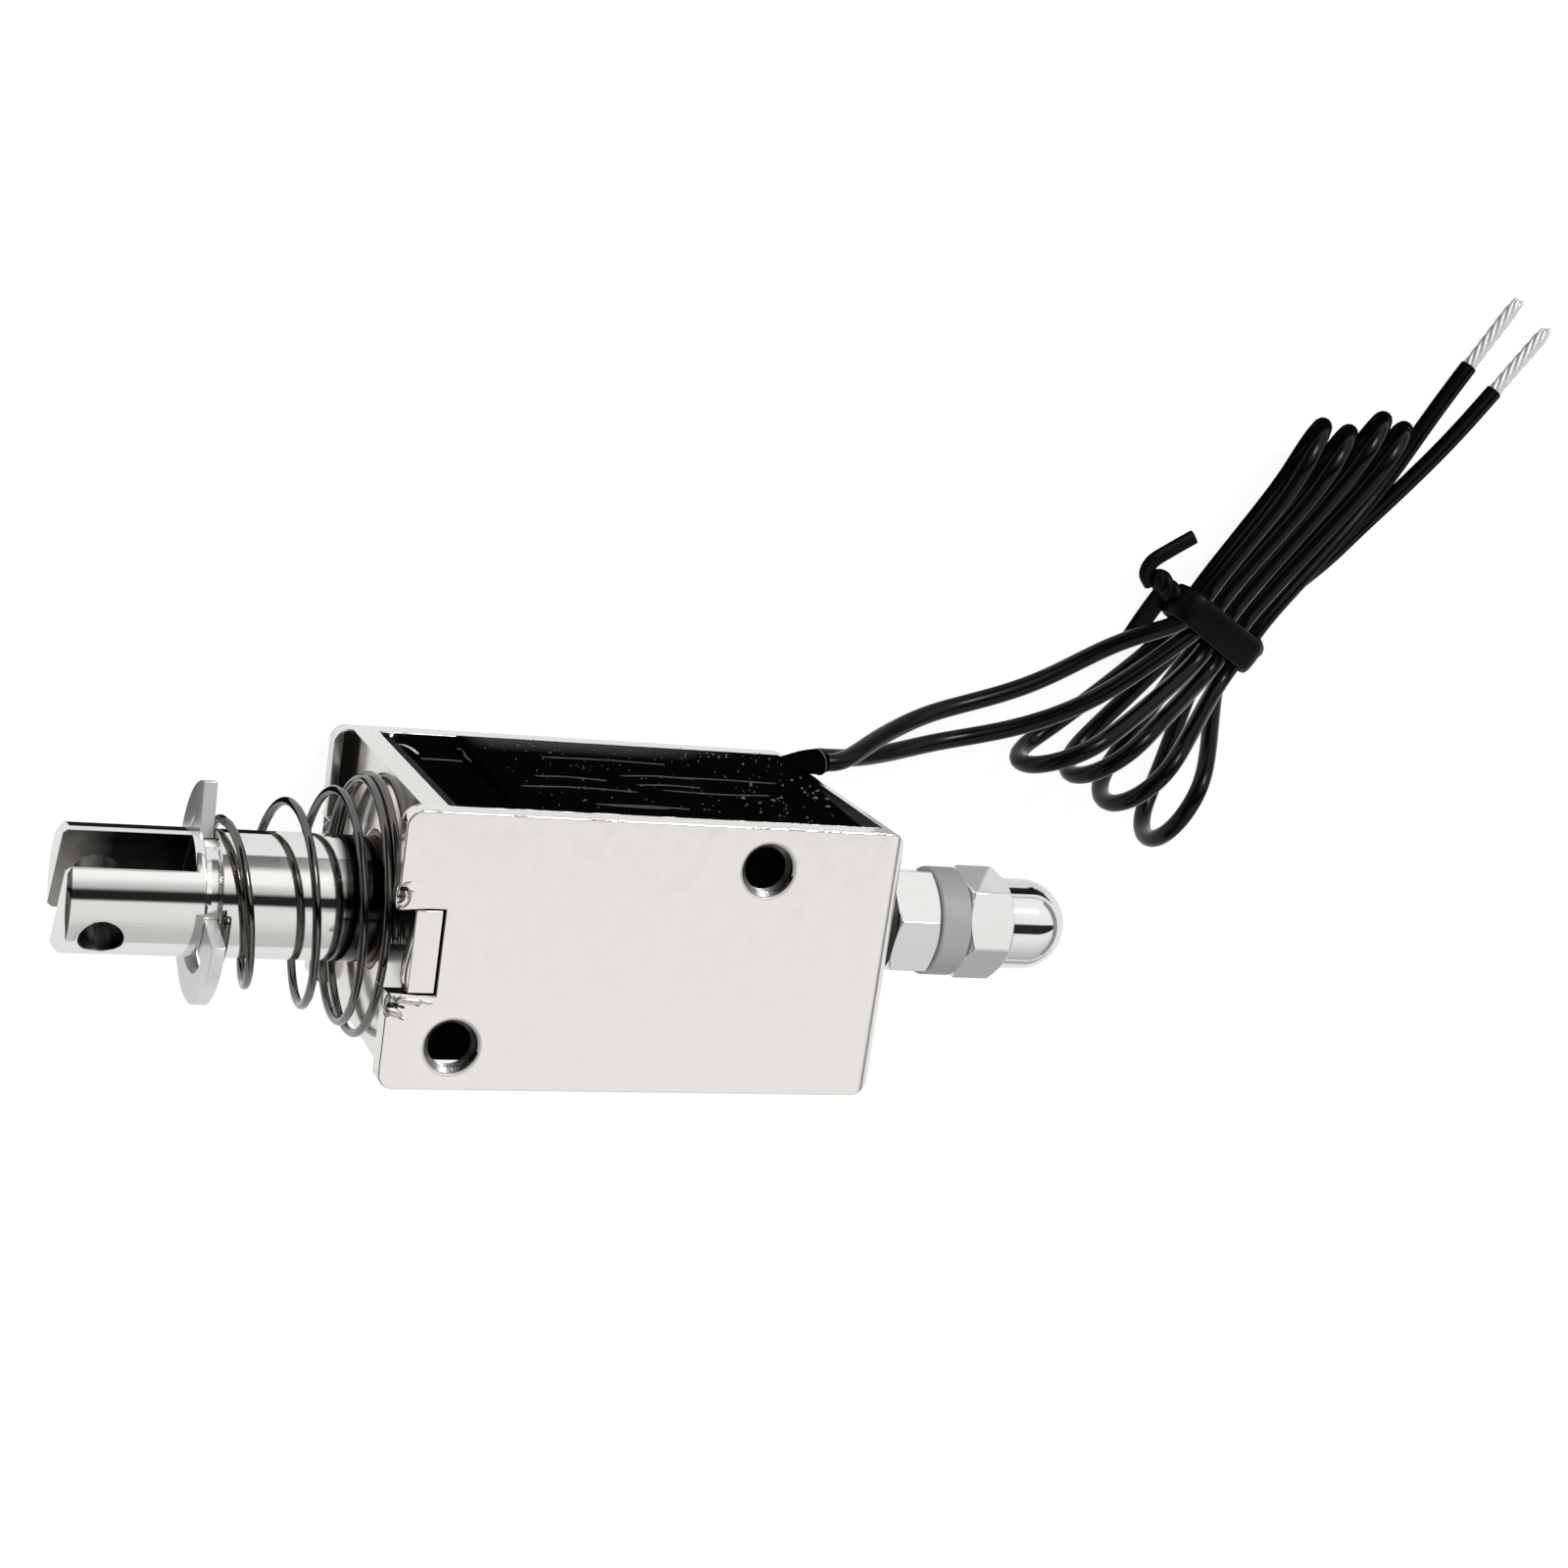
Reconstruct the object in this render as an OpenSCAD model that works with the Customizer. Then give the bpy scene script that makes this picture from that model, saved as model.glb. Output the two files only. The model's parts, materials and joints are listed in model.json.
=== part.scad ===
// Open-frame push-pull solenoid with a conical return spring, a slotted plunger and a push rod.
// It lies on its plain side plate. X runs along the plunger, from the clevis to the acorn nut.
// Z is up, and the origin is the centre of the lower side plate's outer face.

/* [Frame] */
// Length of the bent frame along the plunger
frame_l = 39; // [34:0.5:48]
// Width of the frame across its two side plates
frame_w = 26; // [25:0.5:32]
// Height of the side plates, across the open sides
frame_h = 20.8; // [20.6:0.2:26]
// Thickness of the frame's sheet steel
sheet_t = 1.8; // [1.2:0.1:2]
// Outer radius of the two bends
bend_r = 2; // [1:0.1:3]
// Radius of the corners at the frame's front edge
front_corner_r = 1.2; // [0.4:0.1:2]
// Radius of the corners beside the bends
rear_corner_r = 1.8; // [0.5:0.1:2.5]

/* [Mounting holes] */
// Radius of each tapped mounting hole
mount_r = 2; // [1.5:0.1:2.5]
// Distance from the frame's front edge to the first hole
mount_front = 5.2; // [5:0.1:7]
// Distance between the two holes along the frame
mount_pitch_x = 22.5; // [18:0.5:26]
// Distance between the two holes across the frame
mount_pitch_y = 14.2; // [12.6:0.2:15]
// Chamfer at the mouth of each tapped hole
mount_chamfer = 0.25; // [0.1:0.05:0.4]

/* [Front plate] */
// Thickness of the front plate
plate_t = 2; // [1.5:0.1:2.5]
// Depth of the front plate behind the frame's front edge
plate_recess = 1.4; // [0.8:0.1:2]
// Height of the tabs that lock into the side plates
tab_h = 6.2; // [4:0.1:7]
// Radius of the stake marks beside the tabs
stake_r = 0.8; // [0.5:0.05:1]

/* [Plunger] */
// Diameter of the plunger
plunger_d = 9.5; // [9:0.1:10]
// Length of plunger that stands out of the frame at rest
plunger_out = 21.8; // [21:0.2:26]
// Travel of the plunger, from rest to pulled in
stroke = 9.5; // [6:0.5:9.5]
// Width of the clevis slot
slot_w = 3.4; // [2.5:0.1:4]
// Depth of the clevis slot
slot_l = 9.2; // [6:0.1:9.4]
// Direction of the slot's opening, from straight up towards the coil's open side
slot_angle = 56; // [0:1:90]
// Diameter of the cross hole in the clevis
cross_d = 3.2; // [2:0.1:4]
// Distance from the tip of the clevis to the cross hole
cross_from_tip = 2.9; // [2.5:0.1:4.5]
// Chamfer at the tip of the clevis
tip_chamfer = 0.4; // [0.2:0.05:0.8]
// Length of the tapered nose at the plunger's inner end
nose_l = 2.5; // [1.5:0.1:3.5]
// Diameter of the nose at its end
nose_d = 6.6; // [6.2:0.1:7.5]

/* [Retaining clip] */
// Outer diameter of the retaining clip
clip_d = 16.5; // [15:0.1:18]
// Thickness of the retaining clip
clip_t = 1; // [0.7:0.1:1.2]
// Diameter of the groove that the clip sits in
groove_d = 8; // [7:0.1:8.4]
// Distance from the frame's front edge to the clip's inner face
clip_from_frame = 10.75; // [10.5:0.05:11.6]
// Direction of the clip's mouth, from straight up towards the coil's open side
clip_angle = 42; // [0:1:90]

/* [Return spring] */
// Diameter of the spring wire
spring_wire_d = 0.65; // [0.5:0.05:0.8]
// Outer diameter of the spring's large end
spring_big_d = 20; // [17:0.2:20.4]
// Outer diameter of the spring's small end
spring_small_d = 11.9; // [11.7:0.1:13]
// Number of turns that work, between the closed ends
spring_turns = 3.25; // [2.25:1:5.25]

/* [Push rod and nuts] */
// Diameter of the push rod
rod_d = 5; // [4:0.1:5.5]
// Size across the flats of the rod nut and the acorn nut
nut_af = 8; // [7.4:0.1:9]
// Height of the rod nut
rod_nut_h = 4; // [3:0.1:5]
// Thickness of the cushion washer
cushion_t = 2.5; // [1.5:0.1:3]
// Outer diameter of the cushion washer
cushion_d = 8.8; // [8:0.1:9]
// Height of the acorn nut's hexagon
acorn_hex_h = 4; // [3:0.1:5]
// Whole height of the acorn nut
acorn_h = 10; // [9:0.2:12]
// Diameter of the acorn nut's dome
acorn_dome_d = 7.4; // [6.8:0.1:7.4]

/* [Fixed core] */
// Length of the core inside the frame
core_l = 14; // [12:0.5:16]
// Diameter of the threaded spigot that holds the core in the rear plate
spigot_d = 8; // [7:0.1:8.4]
// Size across the flats of the core nut
core_nut_af = 12; // [10.5:0.1:12.6]
// Height of the core nut
core_nut_h = 2; // [1.5:0.1:2.4]
// Thickness of the rubber stop washer
stop_t = 2; // [1:0.1:2.4]
// Outer diameter of the rubber stop washer
stop_d = 8.4; // [7.5:0.1:9]

/* [Coil] */
// Thickness of the bobbin's flanges
flange_t = 1; // [0.8:0.1:1.5]
// Thickness of the bobbin's barrel
barrel_t = 0.8; // [0.6:0.1:1.2]
// Thickness of the brass guide tube
tube_t = 0.4; // [0.3:0.05:0.5]
// Thickness of the wrapped tape
tape_t = 0.4; // [0.2:0.05:0.5]
// Room between the wrapped coil and the open side of the frame
coil_room = 0.3; // [0.1:0.1:1]
// Length of coil that shows before the outer wrap of tape begins
wrap_start = 4.8; // [2:0.2:8]
// Radius of the shoulder that the tape makes over the lead side of the coil
shoulder_r = 2; // [1.5:0.1:2.5]

/* [Leads] */
// Outer diameter of each lead wire
lead_d = 1.5; // [1.2:0.05:1.6]
// Diameter of the bare stranded ends
bare_d = 1; // [0.8:0.05:1.1]
// Length of the bare stranded ends
bare_l = 7.5; // [5:0.5:10]
// Thickness of the band that ties the hank
tie_t = 0.8; // [0.6:0.1:1]
// Width of the band that ties the hank
tie_w = 2.6; // [2:0.1:4]

/* [Hidden] */

// Clearances
slip = 0.05;        // radial clearance of pieces that slide in each other or are pushed together
core_gap = 0.3;     // air gap that stays between the plunger and the core when pulled in
eps = 0.01;         // overlap of cutting tools past the faces they cut
$fn = 64;

// Places along X
frame_front = -frame_l / 2;
frame_rear = frame_l / 2;
rear_inner = frame_rear - sheet_t;
plate_front = frame_front + plate_recess;
plate_back = plate_front + plate_t;
clip_back = frame_front - clip_from_frame;
clip_front = clip_back - clip_t;
tip_x = frame_front - plunger_out;
core_front = rear_inner - core_l;
rim_x = core_front - core_gap - stroke;
nose_x = rim_x + nose_l;
core_nut_end = frame_rear + core_nut_h;
stop_end = core_nut_end + stop_t;
rod_nut_end = stop_end + rod_nut_h;
cushion_end = rod_nut_end + cushion_t;
acorn_end = cushion_end + acorn_h;

// Sizes that follow
axis_z = frame_w / 2;
side_inner = frame_w - sheet_t;
tube_id = plunger_d + 2 * slip;
tube_od = tube_id + 2 * tube_t;
barrel_id = tube_od + 2 * slip;
barrel_od = barrel_id + 2 * barrel_t;
tape_r = min(frame_h, frame_w - 2 * sheet_t) / 2 - coil_room;
winding_r = tape_r - tape_t;
wind_front = plate_back + flange_t;
wind_rear = rear_inner - flange_t;
rod_hole_d = rod_d + 2 * slip;
rod_depth = 6;
rod_in_acorn = acorn_h - acorn_dome_d / 2 + 1;
notch_play = 0.12;

// The leads leave the coil side by side, in a sleeve that crosses the rear plate's edge
wire_gap = 0.3;
lead_a_z = axis_z - 5;
lead_b_z = lead_a_z - lead_d - wire_gap;
splice_r = (lead_d + wire_gap) / 2 - slip;
splice_l = 8;
splice_y = frame_h / 2 - 0.5;
splice_wall = 0.35;
sleeve_wall = 0.25;
sleeve_end = frame_rear - 0.2;
lead_y = frame_h / 2 + sleeve_wall + lead_d / 2 + slip;
straight_out = 1;
LEAD_A = [[sleeve_end, lead_y, lead_a_z], [sleeve_end + straight_out, lead_y, lead_a_z],
    [21.8, 11.9, 7.3], [24.3, 12.9, 5.4], [27.3, 13.8, 3.4], [30.6, 14.7, 1.6], [33.9, 15.5, 0.85],
    [37.4, 16.6, 0.8], [40.9, 18, 0.8], [44.1, 19.9, 1], [47, 21.9, 1.7], [49.2, 23.2, 2.5]];
LEAD_B = [[sleeve_end, lead_y, lead_b_z], [sleeve_end + straight_out, lead_y, lead_b_z],
    [22.4, 11.4, 5.4], [25.2, 11.3, 3.9], [28.4, 11.6, 2.4], [31.8, 12.2, 1.3], [35.2, 12.9, 1.2],
    [38.6, 13.9, 1.7], [41.9, 15.4, 2.6]];
TAIL_A = [[62.4, 28.3, 2.9], [65.2, 31.1, 2.5], [67.9, 34.2, 1.9], [70.5, 37.2, 1.2],
    [72.9, 40.7, 0.85], [75.3, 45.1, 0.8], [77.6, 48.9, 0.8]];
TAIL_B = [[63.4, 28.3, 1.35], [66.3, 30.4, 1.1], [69, 33.2, 0.85], [71.8, 36.2, 0.8],
    [75.1, 39.8, 0.8], [78, 43.4, 0.8], [80.7, 47, 0.8]];

// The hank's folds stand on edge. Each is the place of its outer end, its heading and its lean
LOW_FOLDS = [[38.3, 11.8, 210, -5], [43.1, 11.1, 224, -6], [46.8, 8.9, 233, -3], [51.4, 5.9, 247, -9]];
HIGH_FOLDS = [[63.2, 41.8, 67, 25.8], [65.8, 41.4, 64, 25.8], [68.9, 42.8, 63, 25.8],
    [71.1, 42.1, 61, 25.8]];
fold_r = 4.5;
fold_rim = 0.1;
neck_w = 8.6;
neck_low = 1.05;
neck_high = 4.25;
neck_shift = -0.2;

// The tie crosses the hank, is twisted beside it, and ends in a bent tip
tie_at = [55.8, 24];
tie_turn = 60;
KNOT = [50.2, 27.5, 1.9];
TWIST = [48.6, 28.9, 2.2];
TIE_TIP = [52.6, 31.9, 2.4];
knot_r = 1.5;
twist_r = 0.8;
neck_side_r = 0.3;

// Conical spring: a closed part turn at the small end, working turns that open quickly and
// then close up, and a closed turn at the large end
small_closed = 0.75;
big_closed = 1;
spring_end_play = 0.05;
spring_steps = 20;
spring_sides = 8;
small_rise = 0.2;
rise_power = 1.7;   // above 1, the turns lie closer towards the large end
grow_power = 0.75;  // below 1, the turns widen sooner
spring_all = small_closed + spring_turns + big_closed;
spring_lay = spring_wire_d + 0.03;
spring_start_x = clip_back + spring_end_play + spring_wire_d / 2;
spring_end_x = plate_front - spring_end_play - spring_wire_d / 2;
open_from = spring_start_x + small_rise;
open_to = spring_end_x - spring_lay;
r_small = (spring_small_d - spring_wire_d) / 2;
r_big = (spring_big_d - spring_wire_d) / 2;

// Small sizes of single pieces
face_share = 0.97;  // share of a hexagon's flats that its round face spans
nut_turn = 47;      // turn of the rod nut about the rod
acorn_turn = 13;    // turn of the acorn nut about the rod
rod_chamfer = 0.4;
rod_room = 0.5;     // room past the rod's end, in the plunger and in the acorn nut
stop_play = 0.5;    // radial play of the stop washer on the rod
cone_step = 0.2;    // radial room between the plunger's nose and the core's cone
prong_w = 3;
prong_lap = 0.4;    // overlap of the clip's prongs past the groove and into the ring
clip_ring_w = 2.3;
clip_mouth_half = 54;
flange_short_y = 0.4;
flange_short_z = 0.2;
shoulder_out = 0.5; // how far the taped shoulder stands out of the frame
wrap_corner_r = 3;
wrap_room = 0.4;    // room between the outer wrap and the frame
shoulder_up = 0.4;  // height of the taped shoulder over the lower side plate
lump_run = 5;       // length over which the tape rises to the splices
lump_drop = 1.5;

// Places children on the plunger's axis, with their own Z along X
module on_axis(x) {
    translate([x, 0, axis_z]) rotate([0, 90, 0]) children();
}

// Turns children so that their own X points at an angle from straight up towards the open side
module facing(angle) {
    rotate([0, 0, 180 - angle]) children();
}

module ring(r_out, r_in, h) {
    difference() {
        cylinder(r = r_out, h = h);
        translate([0, 0, -eps]) cylinder(r = r_in, h = h + 2 * eps);
    }
}

// Hexagonal blank with both rims chamfered at 30 degrees, across the flats af
module hex_blank(af, h) {
    corner_r = af / 2 / cos(30);
    face_r = af / 2 * face_share;
    drop = (corner_r - face_r) * tan(30);
    intersection() {
        cylinder(r = corner_r, h = h, $fn = 6);
        rotate_extrude() polygon([[0, 0], [face_r, 0], [corner_r, drop],
            [corner_r, h - drop], [face_r, h], [0, h]]);
    }
}

// Rectangle from the frame's front to its rear whose four corners are rounded
module side_outline() {
    half = frame_h / 2;
    hull() {
        for (side = [-1, 1]) {
            translate([frame_front + front_corner_r, side * (half - front_corner_r)])
                circle(r = front_corner_r, $fn = 32);
            translate([frame_rear - rear_corner_r, side * (half - rear_corner_r)])
                circle(r = rear_corner_r, $fn = 32);
        }
    }
}

// Section of the bent strip, seen along Y
module strip_section() {
    inner_r = max(bend_r - sheet_t, 0.2);
    difference() {
        union() {
            translate([frame_front, 0]) square([frame_l - bend_r, frame_w]);
            translate([frame_front, bend_r]) square([frame_l, frame_w - 2 * bend_r]);
            for (z = [bend_r, frame_w - bend_r]) translate([frame_rear - bend_r, z]) circle(r = bend_r);
        }
        translate([frame_front - eps, sheet_t])
            square([frame_l - sheet_t - inner_r + eps, side_inner - sheet_t]);
        translate([frame_front - eps, sheet_t + inner_r])
            square([frame_l - sheet_t + eps, side_inner - sheet_t - 2 * inner_r]);
        for (z = [sheet_t + inner_r, side_inner - inner_r])
            translate([rear_inner - inner_r, z]) circle(r = inner_r);
    }
}

module yoke_frame() {
    notch_h = tab_h + 2 * notch_play;
    color("gainsboro") difference() {
        intersection() {
            translate([0, frame_h / 2, 0]) rotate([90, 0, 0])
                linear_extrude(frame_h) strip_section();
            linear_extrude(frame_w) side_outline();
        }
        // notches for the front plate's tabs, through both side plates
        translate([frame_front - 1, -notch_h / 2, -1])
            cube([1 + plate_recess + plate_t + notch_play, notch_h, frame_w + 2]);
        // hole for the core's spigot
        on_axis(rear_inner - 1) cylinder(r = spigot_d / 2 + slip, h = sheet_t + 2);
        // two tapped holes on a diagonal of the upper side plate
        for (i = [0, 1])
            translate([frame_front + mount_front + i * mount_pitch_x,
                (i - 0.5) * mount_pitch_y, side_inner - eps]) {
                cylinder(r = mount_r, h = sheet_t + 2 * eps);
                translate([0, 0, sheet_t - mount_chamfer])
                    cylinder(r1 = mount_r, r2 = mount_r + mount_chamfer + 2 * eps,
                        h = mount_chamfer + 2 * eps);
            }
        // punch marks that stake the sheet over the front plate
        for (side = [-1, 1], z = [0, frame_w])
            translate([frame_front, side * (notch_h / 2 + stake_r), z]) sphere(r = stake_r);
    }
}

module front_plate() {
    color("lightgray") difference() {
        union() {
            translate([plate_front, -frame_h / 2, sheet_t])
                cube([plate_t, frame_h, side_inner - sheet_t]);
            translate([plate_front, -tab_h / 2, 0]) cube([plate_t, tab_h, frame_w]);
        }
        on_axis(plate_front - 1) cylinder(r = tube_od / 2 + slip, h = plate_t + 2);
    }
}

module guide_tube() {
    color("goldenrod") on_axis(plate_front)
        ring(tube_od / 2, tube_id / 2, rear_inner - plate_front);
}

module fixed_core() {
    cone_l = nose_l + core_gap;
    color("silver") difference() {
        union() {
            on_axis(core_front) cylinder(r = tube_id / 2, h = core_l);
            on_axis(rear_inner - eps) cylinder(r = spigot_d / 2, h = sheet_t + core_nut_h + eps);
        }
        on_axis(core_front - 1) cylinder(r = rod_hole_d / 2, h = acorn_end);
        on_axis(core_front - eps)
            cylinder(r1 = plunger_d / 2 - cone_step, r2 = nose_d / 2, h = cone_l);
    }
}

module core_nut() {
    color("silver") on_axis(frame_rear) difference() {
        hex_blank(core_nut_af, core_nut_h);
        translate([0, 0, -1]) cylinder(r = spigot_d / 2, h = core_nut_h + 2);
    }
}

module stop_washer() {
    color("dimgray") on_axis(core_nut_end) ring(stop_d / 2, rod_d / 2 + stop_play, stop_t);
}

module bobbin_flange(x) {
    half_y = frame_h / 2 - flange_short_y;
    half_z = side_inner - axis_z - flange_short_z;
    translate([x, -half_y, axis_z - half_z]) cube([flange_t, 2 * half_y, 2 * half_z]);
}

module bobbin() {
    color("black") difference() {
        union() {
            bobbin_flange(plate_back);
            bobbin_flange(wind_rear);
            on_axis(plate_back) cylinder(r = barrel_od / 2, h = rear_inner - plate_back);
        }
        on_axis(plate_back - 1) cylinder(r = barrel_id / 2, h = frame_l);
    }
}

module coil_winding() {
    color("peru") on_axis(wind_front) ring(winding_r, barrel_od / 2, wind_rear - wind_front);
}

// Four round corners of the taped coil, seen along the plunger
module wrap_corners(room) {
    corner_y = frame_h / 2 - room - wrap_corner_r;
    corner_z = side_inner - axis_z - room - wrap_corner_r;
    for (y = [-corner_y, corner_y], z = [-corner_z, corner_z])
        translate([z, y]) circle(r = wrap_corner_r, $fn = 32);
}

// Outline of the outer wrap, with a shoulder on the leads' side
module wrap_section() {
    shoulder_z = sheet_t + shoulder_r + shoulder_up;
    hull() {
        wrap_corners(wrap_room);
        translate([axis_z - shoulder_z, frame_h / 2 + shoulder_out - shoulder_r])
            circle(r = shoulder_r, $fn = 32);
    }
}

// Lump that the tape makes over the two splices
module splice_lump() {
    r = splice_r + splice_wall;
    hull() for (z = [lead_a_z, lead_b_z]) {
        translate([wind_rear - splice_l, splice_y, z]) rotate([0, 90, 0])
            cylinder(r = r, h = splice_l, $fn = 24);
        translate([wind_rear - splice_l - lump_run, splice_y - lump_drop, z]) rotate([0, 90, 0])
            cylinder(r = splice_r, h = 1, $fn = 24);
    }
}

module coil_tape() {
    color("black") difference() {
        union() {
            on_axis(wind_front) linear_extrude(wind_rear - wind_front)
                hull() wrap_corners(wrap_room + tape_t / 2);
            on_axis(wind_front + wrap_start)
                linear_extrude(wind_rear - wind_front - wrap_start) wrap_section();
            splice_lump();
        }
        on_axis(wind_front - 1) cylinder(r = winding_r, h = wind_rear - wind_front + 2);
        splice_a(eps);
        splice_b(eps);
    }
}

// Flat sleeve round both leads where they cross the rear plate's edge
module exit_sleeve() {
    r = lead_d / 2 + sleeve_wall;
    color("black") difference() {
        hull() for (z = [lead_a_z, lead_b_z]) translate([wind_rear, lead_y, z]) rotate([0, 90, 0])
            cylinder(r = r, h = sleeve_end - wind_rear, $fn = 32);
        // the flange and the rear plate stay below it
        translate([wind_rear - 1, frame_h / 2 - 2, lead_b_z - 2 * r])
            cube([frame_l, 2, lead_a_z - lead_b_z + 4 * r]);
    }
}

// Insulated joint between a lead and the end of the winding's wire
module splice(z, past = 0) {
    color("dimgray") translate([wind_rear - splice_l, splice_y, z]) rotate([0, 90, 0])
        cylinder(r = splice_r, h = splice_l + past);
}

module splice_a(past = 0) {
    splice(lead_a_z, past);
}

module splice_b(past = 0) {
    splice(lead_b_z, past);
}

// Share, place along X and radius of the spring's wire after a number of turns
function spring_share(turn) = min(max((turn - small_closed) / spring_turns, 0), 1);
function spring_x(turn) =
    turn < small_closed ? spring_start_x + small_rise * turn / small_closed
    : open_from + (open_to - open_from) * (1 - pow(1 - spring_share(turn), rise_power))
        + spring_lay * max(turn - small_closed - spring_turns, 0);
function spring_r(turn) = r_small + (r_big - r_small) * pow(spring_share(turn), grow_power);
function spring_at(turn) =
    let (a = 360 * (turn - small_closed), r = spring_r(turn))
    [spring_x(turn), r * cos(a), axis_z + r * sin(a)];

// Skin of a tube of radius r along points, with the given number of sides
function unit(v) = v / norm(v);
function heading(points, i) =
    unit(points[min(i + 1, len(points) - 1)] - points[max(i - 1, 0)]);
function ring_at(p, along, lean, r, sides) =
    let (side = unit(cross(along, lean)), up = cross(side, along))
    [for (k = [0:sides - 1]) p + r * (cos(360 * k / sides) * side + sin(360 * k / sides) * up)];
function tube_faces(rings, sides) = concat(
    [[for (k = [0:sides - 1]) k]],
    [for (i = [0:rings - 2], k = [0:sides - 1])
        let (n = (k + 1) % sides)
        [i * sides + k, (i + 1) * sides + k, (i + 1) * sides + n, i * sides + n]],
    [[for (k = [sides - 1:-1:0]) (rings - 1) * sides + k]]);

module swept(points, r, sides, leans) {
    rings = [for (i = [0:len(points) - 1])
        each ring_at(points[i], heading(points, i), leans[i], r, sides)];
    polyhedron(points = rings, faces = tube_faces(len(points), sides), convexity = 6);
}

module return_spring() {
    steps = round(spring_all * spring_steps);
    points = [for (i = [0:steps]) spring_at(spring_all * i / steps)];
    leans = [for (i = [0:steps]) [1, 0, 0]];
    color("lightgray") swept(points, spring_wire_d / 2, spring_sides, leans);
}

// Outline of the retaining clip, with its mouth along X: a ring with three prongs
module clip_outline() {
    reach = clip_d;
    side_x = reach * cos(clip_mouth_half);
    side_y = reach * sin(clip_mouth_half);
    inner_r = clip_d / 2 - clip_ring_w;
    prong_l = inner_r - groove_d / 2 + 2 * prong_lap;
    difference() {
        union() {
            difference() {
                circle(r = clip_d / 2);
                circle(r = inner_r);
                polygon([[0, 0], [side_x, -side_y], [reach, 0], [side_x, side_y]]);
            }
            for (side = [1, -1]) rotate(side * clip_mouth_half)
                translate([groove_d / 2 - prong_lap, side > 0 ? 0 : -prong_w])
                    square([prong_l, prong_w]);
            translate([-inner_r - prong_lap, -prong_w / 2]) square([prong_l, prong_w]);
        }
        circle(r = groove_d / 2 + slip);
    }
}

module e_clip() {
    color("gainsboro") on_axis(clip_front) facing(clip_angle) linear_extrude(clip_t) clip_outline();
}

module plunger() {
    r = plunger_d / 2;
    core_drill = rod_depth + rod_room;
    color("whitesmoke") difference() {
        union() {
            on_axis(tip_x) rotate_extrude() polygon([[0, 0], [r - tip_chamfer, 0],
                [r, tip_chamfer], [r, rim_x - tip_x], [0, rim_x - tip_x]]);
            on_axis(rim_x - eps) cylinder(r1 = r - 2 * cone_step, r2 = nose_d / 2 - cone_step,
                h = nose_l + eps);
        }
        on_axis(clip_front - slip) ring(r + 1, groove_d / 2, clip_t + 2 * slip);
        on_axis(tip_x) facing(slot_angle)
            translate([-r - 1, -slot_w / 2, -1]) cube([2 * r + 2, slot_w, slot_l + 1]);
        on_axis(tip_x + cross_from_tip) facing(slot_angle) rotate([90, 0, 0])
            cylinder(r = cross_d / 2, h = 2 * r + 2, center = true);
        on_axis(nose_x - core_drill) cylinder(r = rod_d / 2, h = core_drill + 1);
    }
}

module push_rod() {
    start = nose_x - rod_depth;
    color("silver") on_axis(start) {
        length = cushion_end + rod_in_acorn - start;
        rotate_extrude() polygon([[0, 0], [rod_d / 2, 0], [rod_d / 2, length - rod_chamfer],
            [rod_d / 2 - rod_chamfer, length], [0, length]]);
    }
}

module rod_nut() {
    color("gainsboro") on_axis(stop_end) rotate([0, 0, nut_turn]) difference() {
        hex_blank(nut_af, rod_nut_h);
        translate([0, 0, -1]) cylinder(r = rod_d / 2 + slip, h = rod_nut_h + 2);
    }
}

module cushion_washer() {
    color("darkgray") on_axis(rod_nut_end) ring(cushion_d / 2, rod_d / 2 + slip, cushion_t);
}

module acorn_nut() {
    dome_r = acorn_dome_d / 2;
    color("gainsboro") on_axis(cushion_end) rotate([0, 0, acorn_turn]) difference() {
        union() {
            hex_blank(nut_af, acorn_hex_h);
            cylinder(r = dome_r, h = acorn_h - dome_r);
            translate([0, 0, acorn_h - dome_r]) sphere(r = dome_r);
        }
        translate([0, 0, -1]) cylinder(r = rod_d / 2 + slip, h = rod_in_acorn + rod_room + 1);
    }
}

module lead(points, r = lead_d / 2) {
    leans = [for (p = points) [0, 0, 1]];
    color("black") swept(points, r, 8, leans);
}

module lead_a() {
    lead(LEAD_A);
}

module lead_b() {
    lead(LEAD_B);
}

module lead_tail_a() {
    lead(TAIL_A);
}

module lead_tail_b() {
    lead(TAIL_B);
}

// Bare strands that go straight on from a tail's last point
module bare_end(tail) {
    last = tail[len(tail) - 1];
    along = heading(tail, len(tail) - 1);
    color("silver") translate(last) rotate([0, 90, atan2(along[1], along[0])])
        cylinder(r = bare_d / 2, h = bare_l);
}

module bare_end_a() {
    bare_end(TAIL_A);
}

module bare_end_b() {
    bare_end(TAIL_B);
}

// Section of the hank at its tie, seen along the strands
module neck(extra) {
    translate([neck_shift - neck_w / 2 - extra, neck_low - extra])
        square([neck_w + 2 * extra, neck_high - neck_low + 2 * extra]);
}

// Stands a section up across the hank at its tie
module across_tie(length) {
    translate([tie_at[0], tie_at[1], 0]) rotate([0, 0, tie_turn - 90]) rotate([90, 0, 0])
        translate([0, 0, -length / 2]) linear_extrude(length) children();
}

// Two discs round the room that one fold of a strand fills, on edge over the ground
module fold(place) {
    translate([place[0], place[1], lead_d / 2 + slip]) rotate([0, 0, place[2]])
        translate([-fold_r, 0, 0]) rotate([-place[3], 0, 0]) translate([0, 0, fold_r])
            rotate([90, 0, 0]) {
                cylinder(r = fold_r + lead_d / 2, h = fold_rim, center = true, $fn = 24);
                cylinder(r = fold_r, h = lead_d, center = true, $fn = 24);
            }
}

// Half of the hank, from its tie to its folds
module hank_half(places) {
    hull() {
        across_tie(tie_w + 4 * slip) neck(0);
        for (p = places) fold(p);
    }
}

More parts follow.
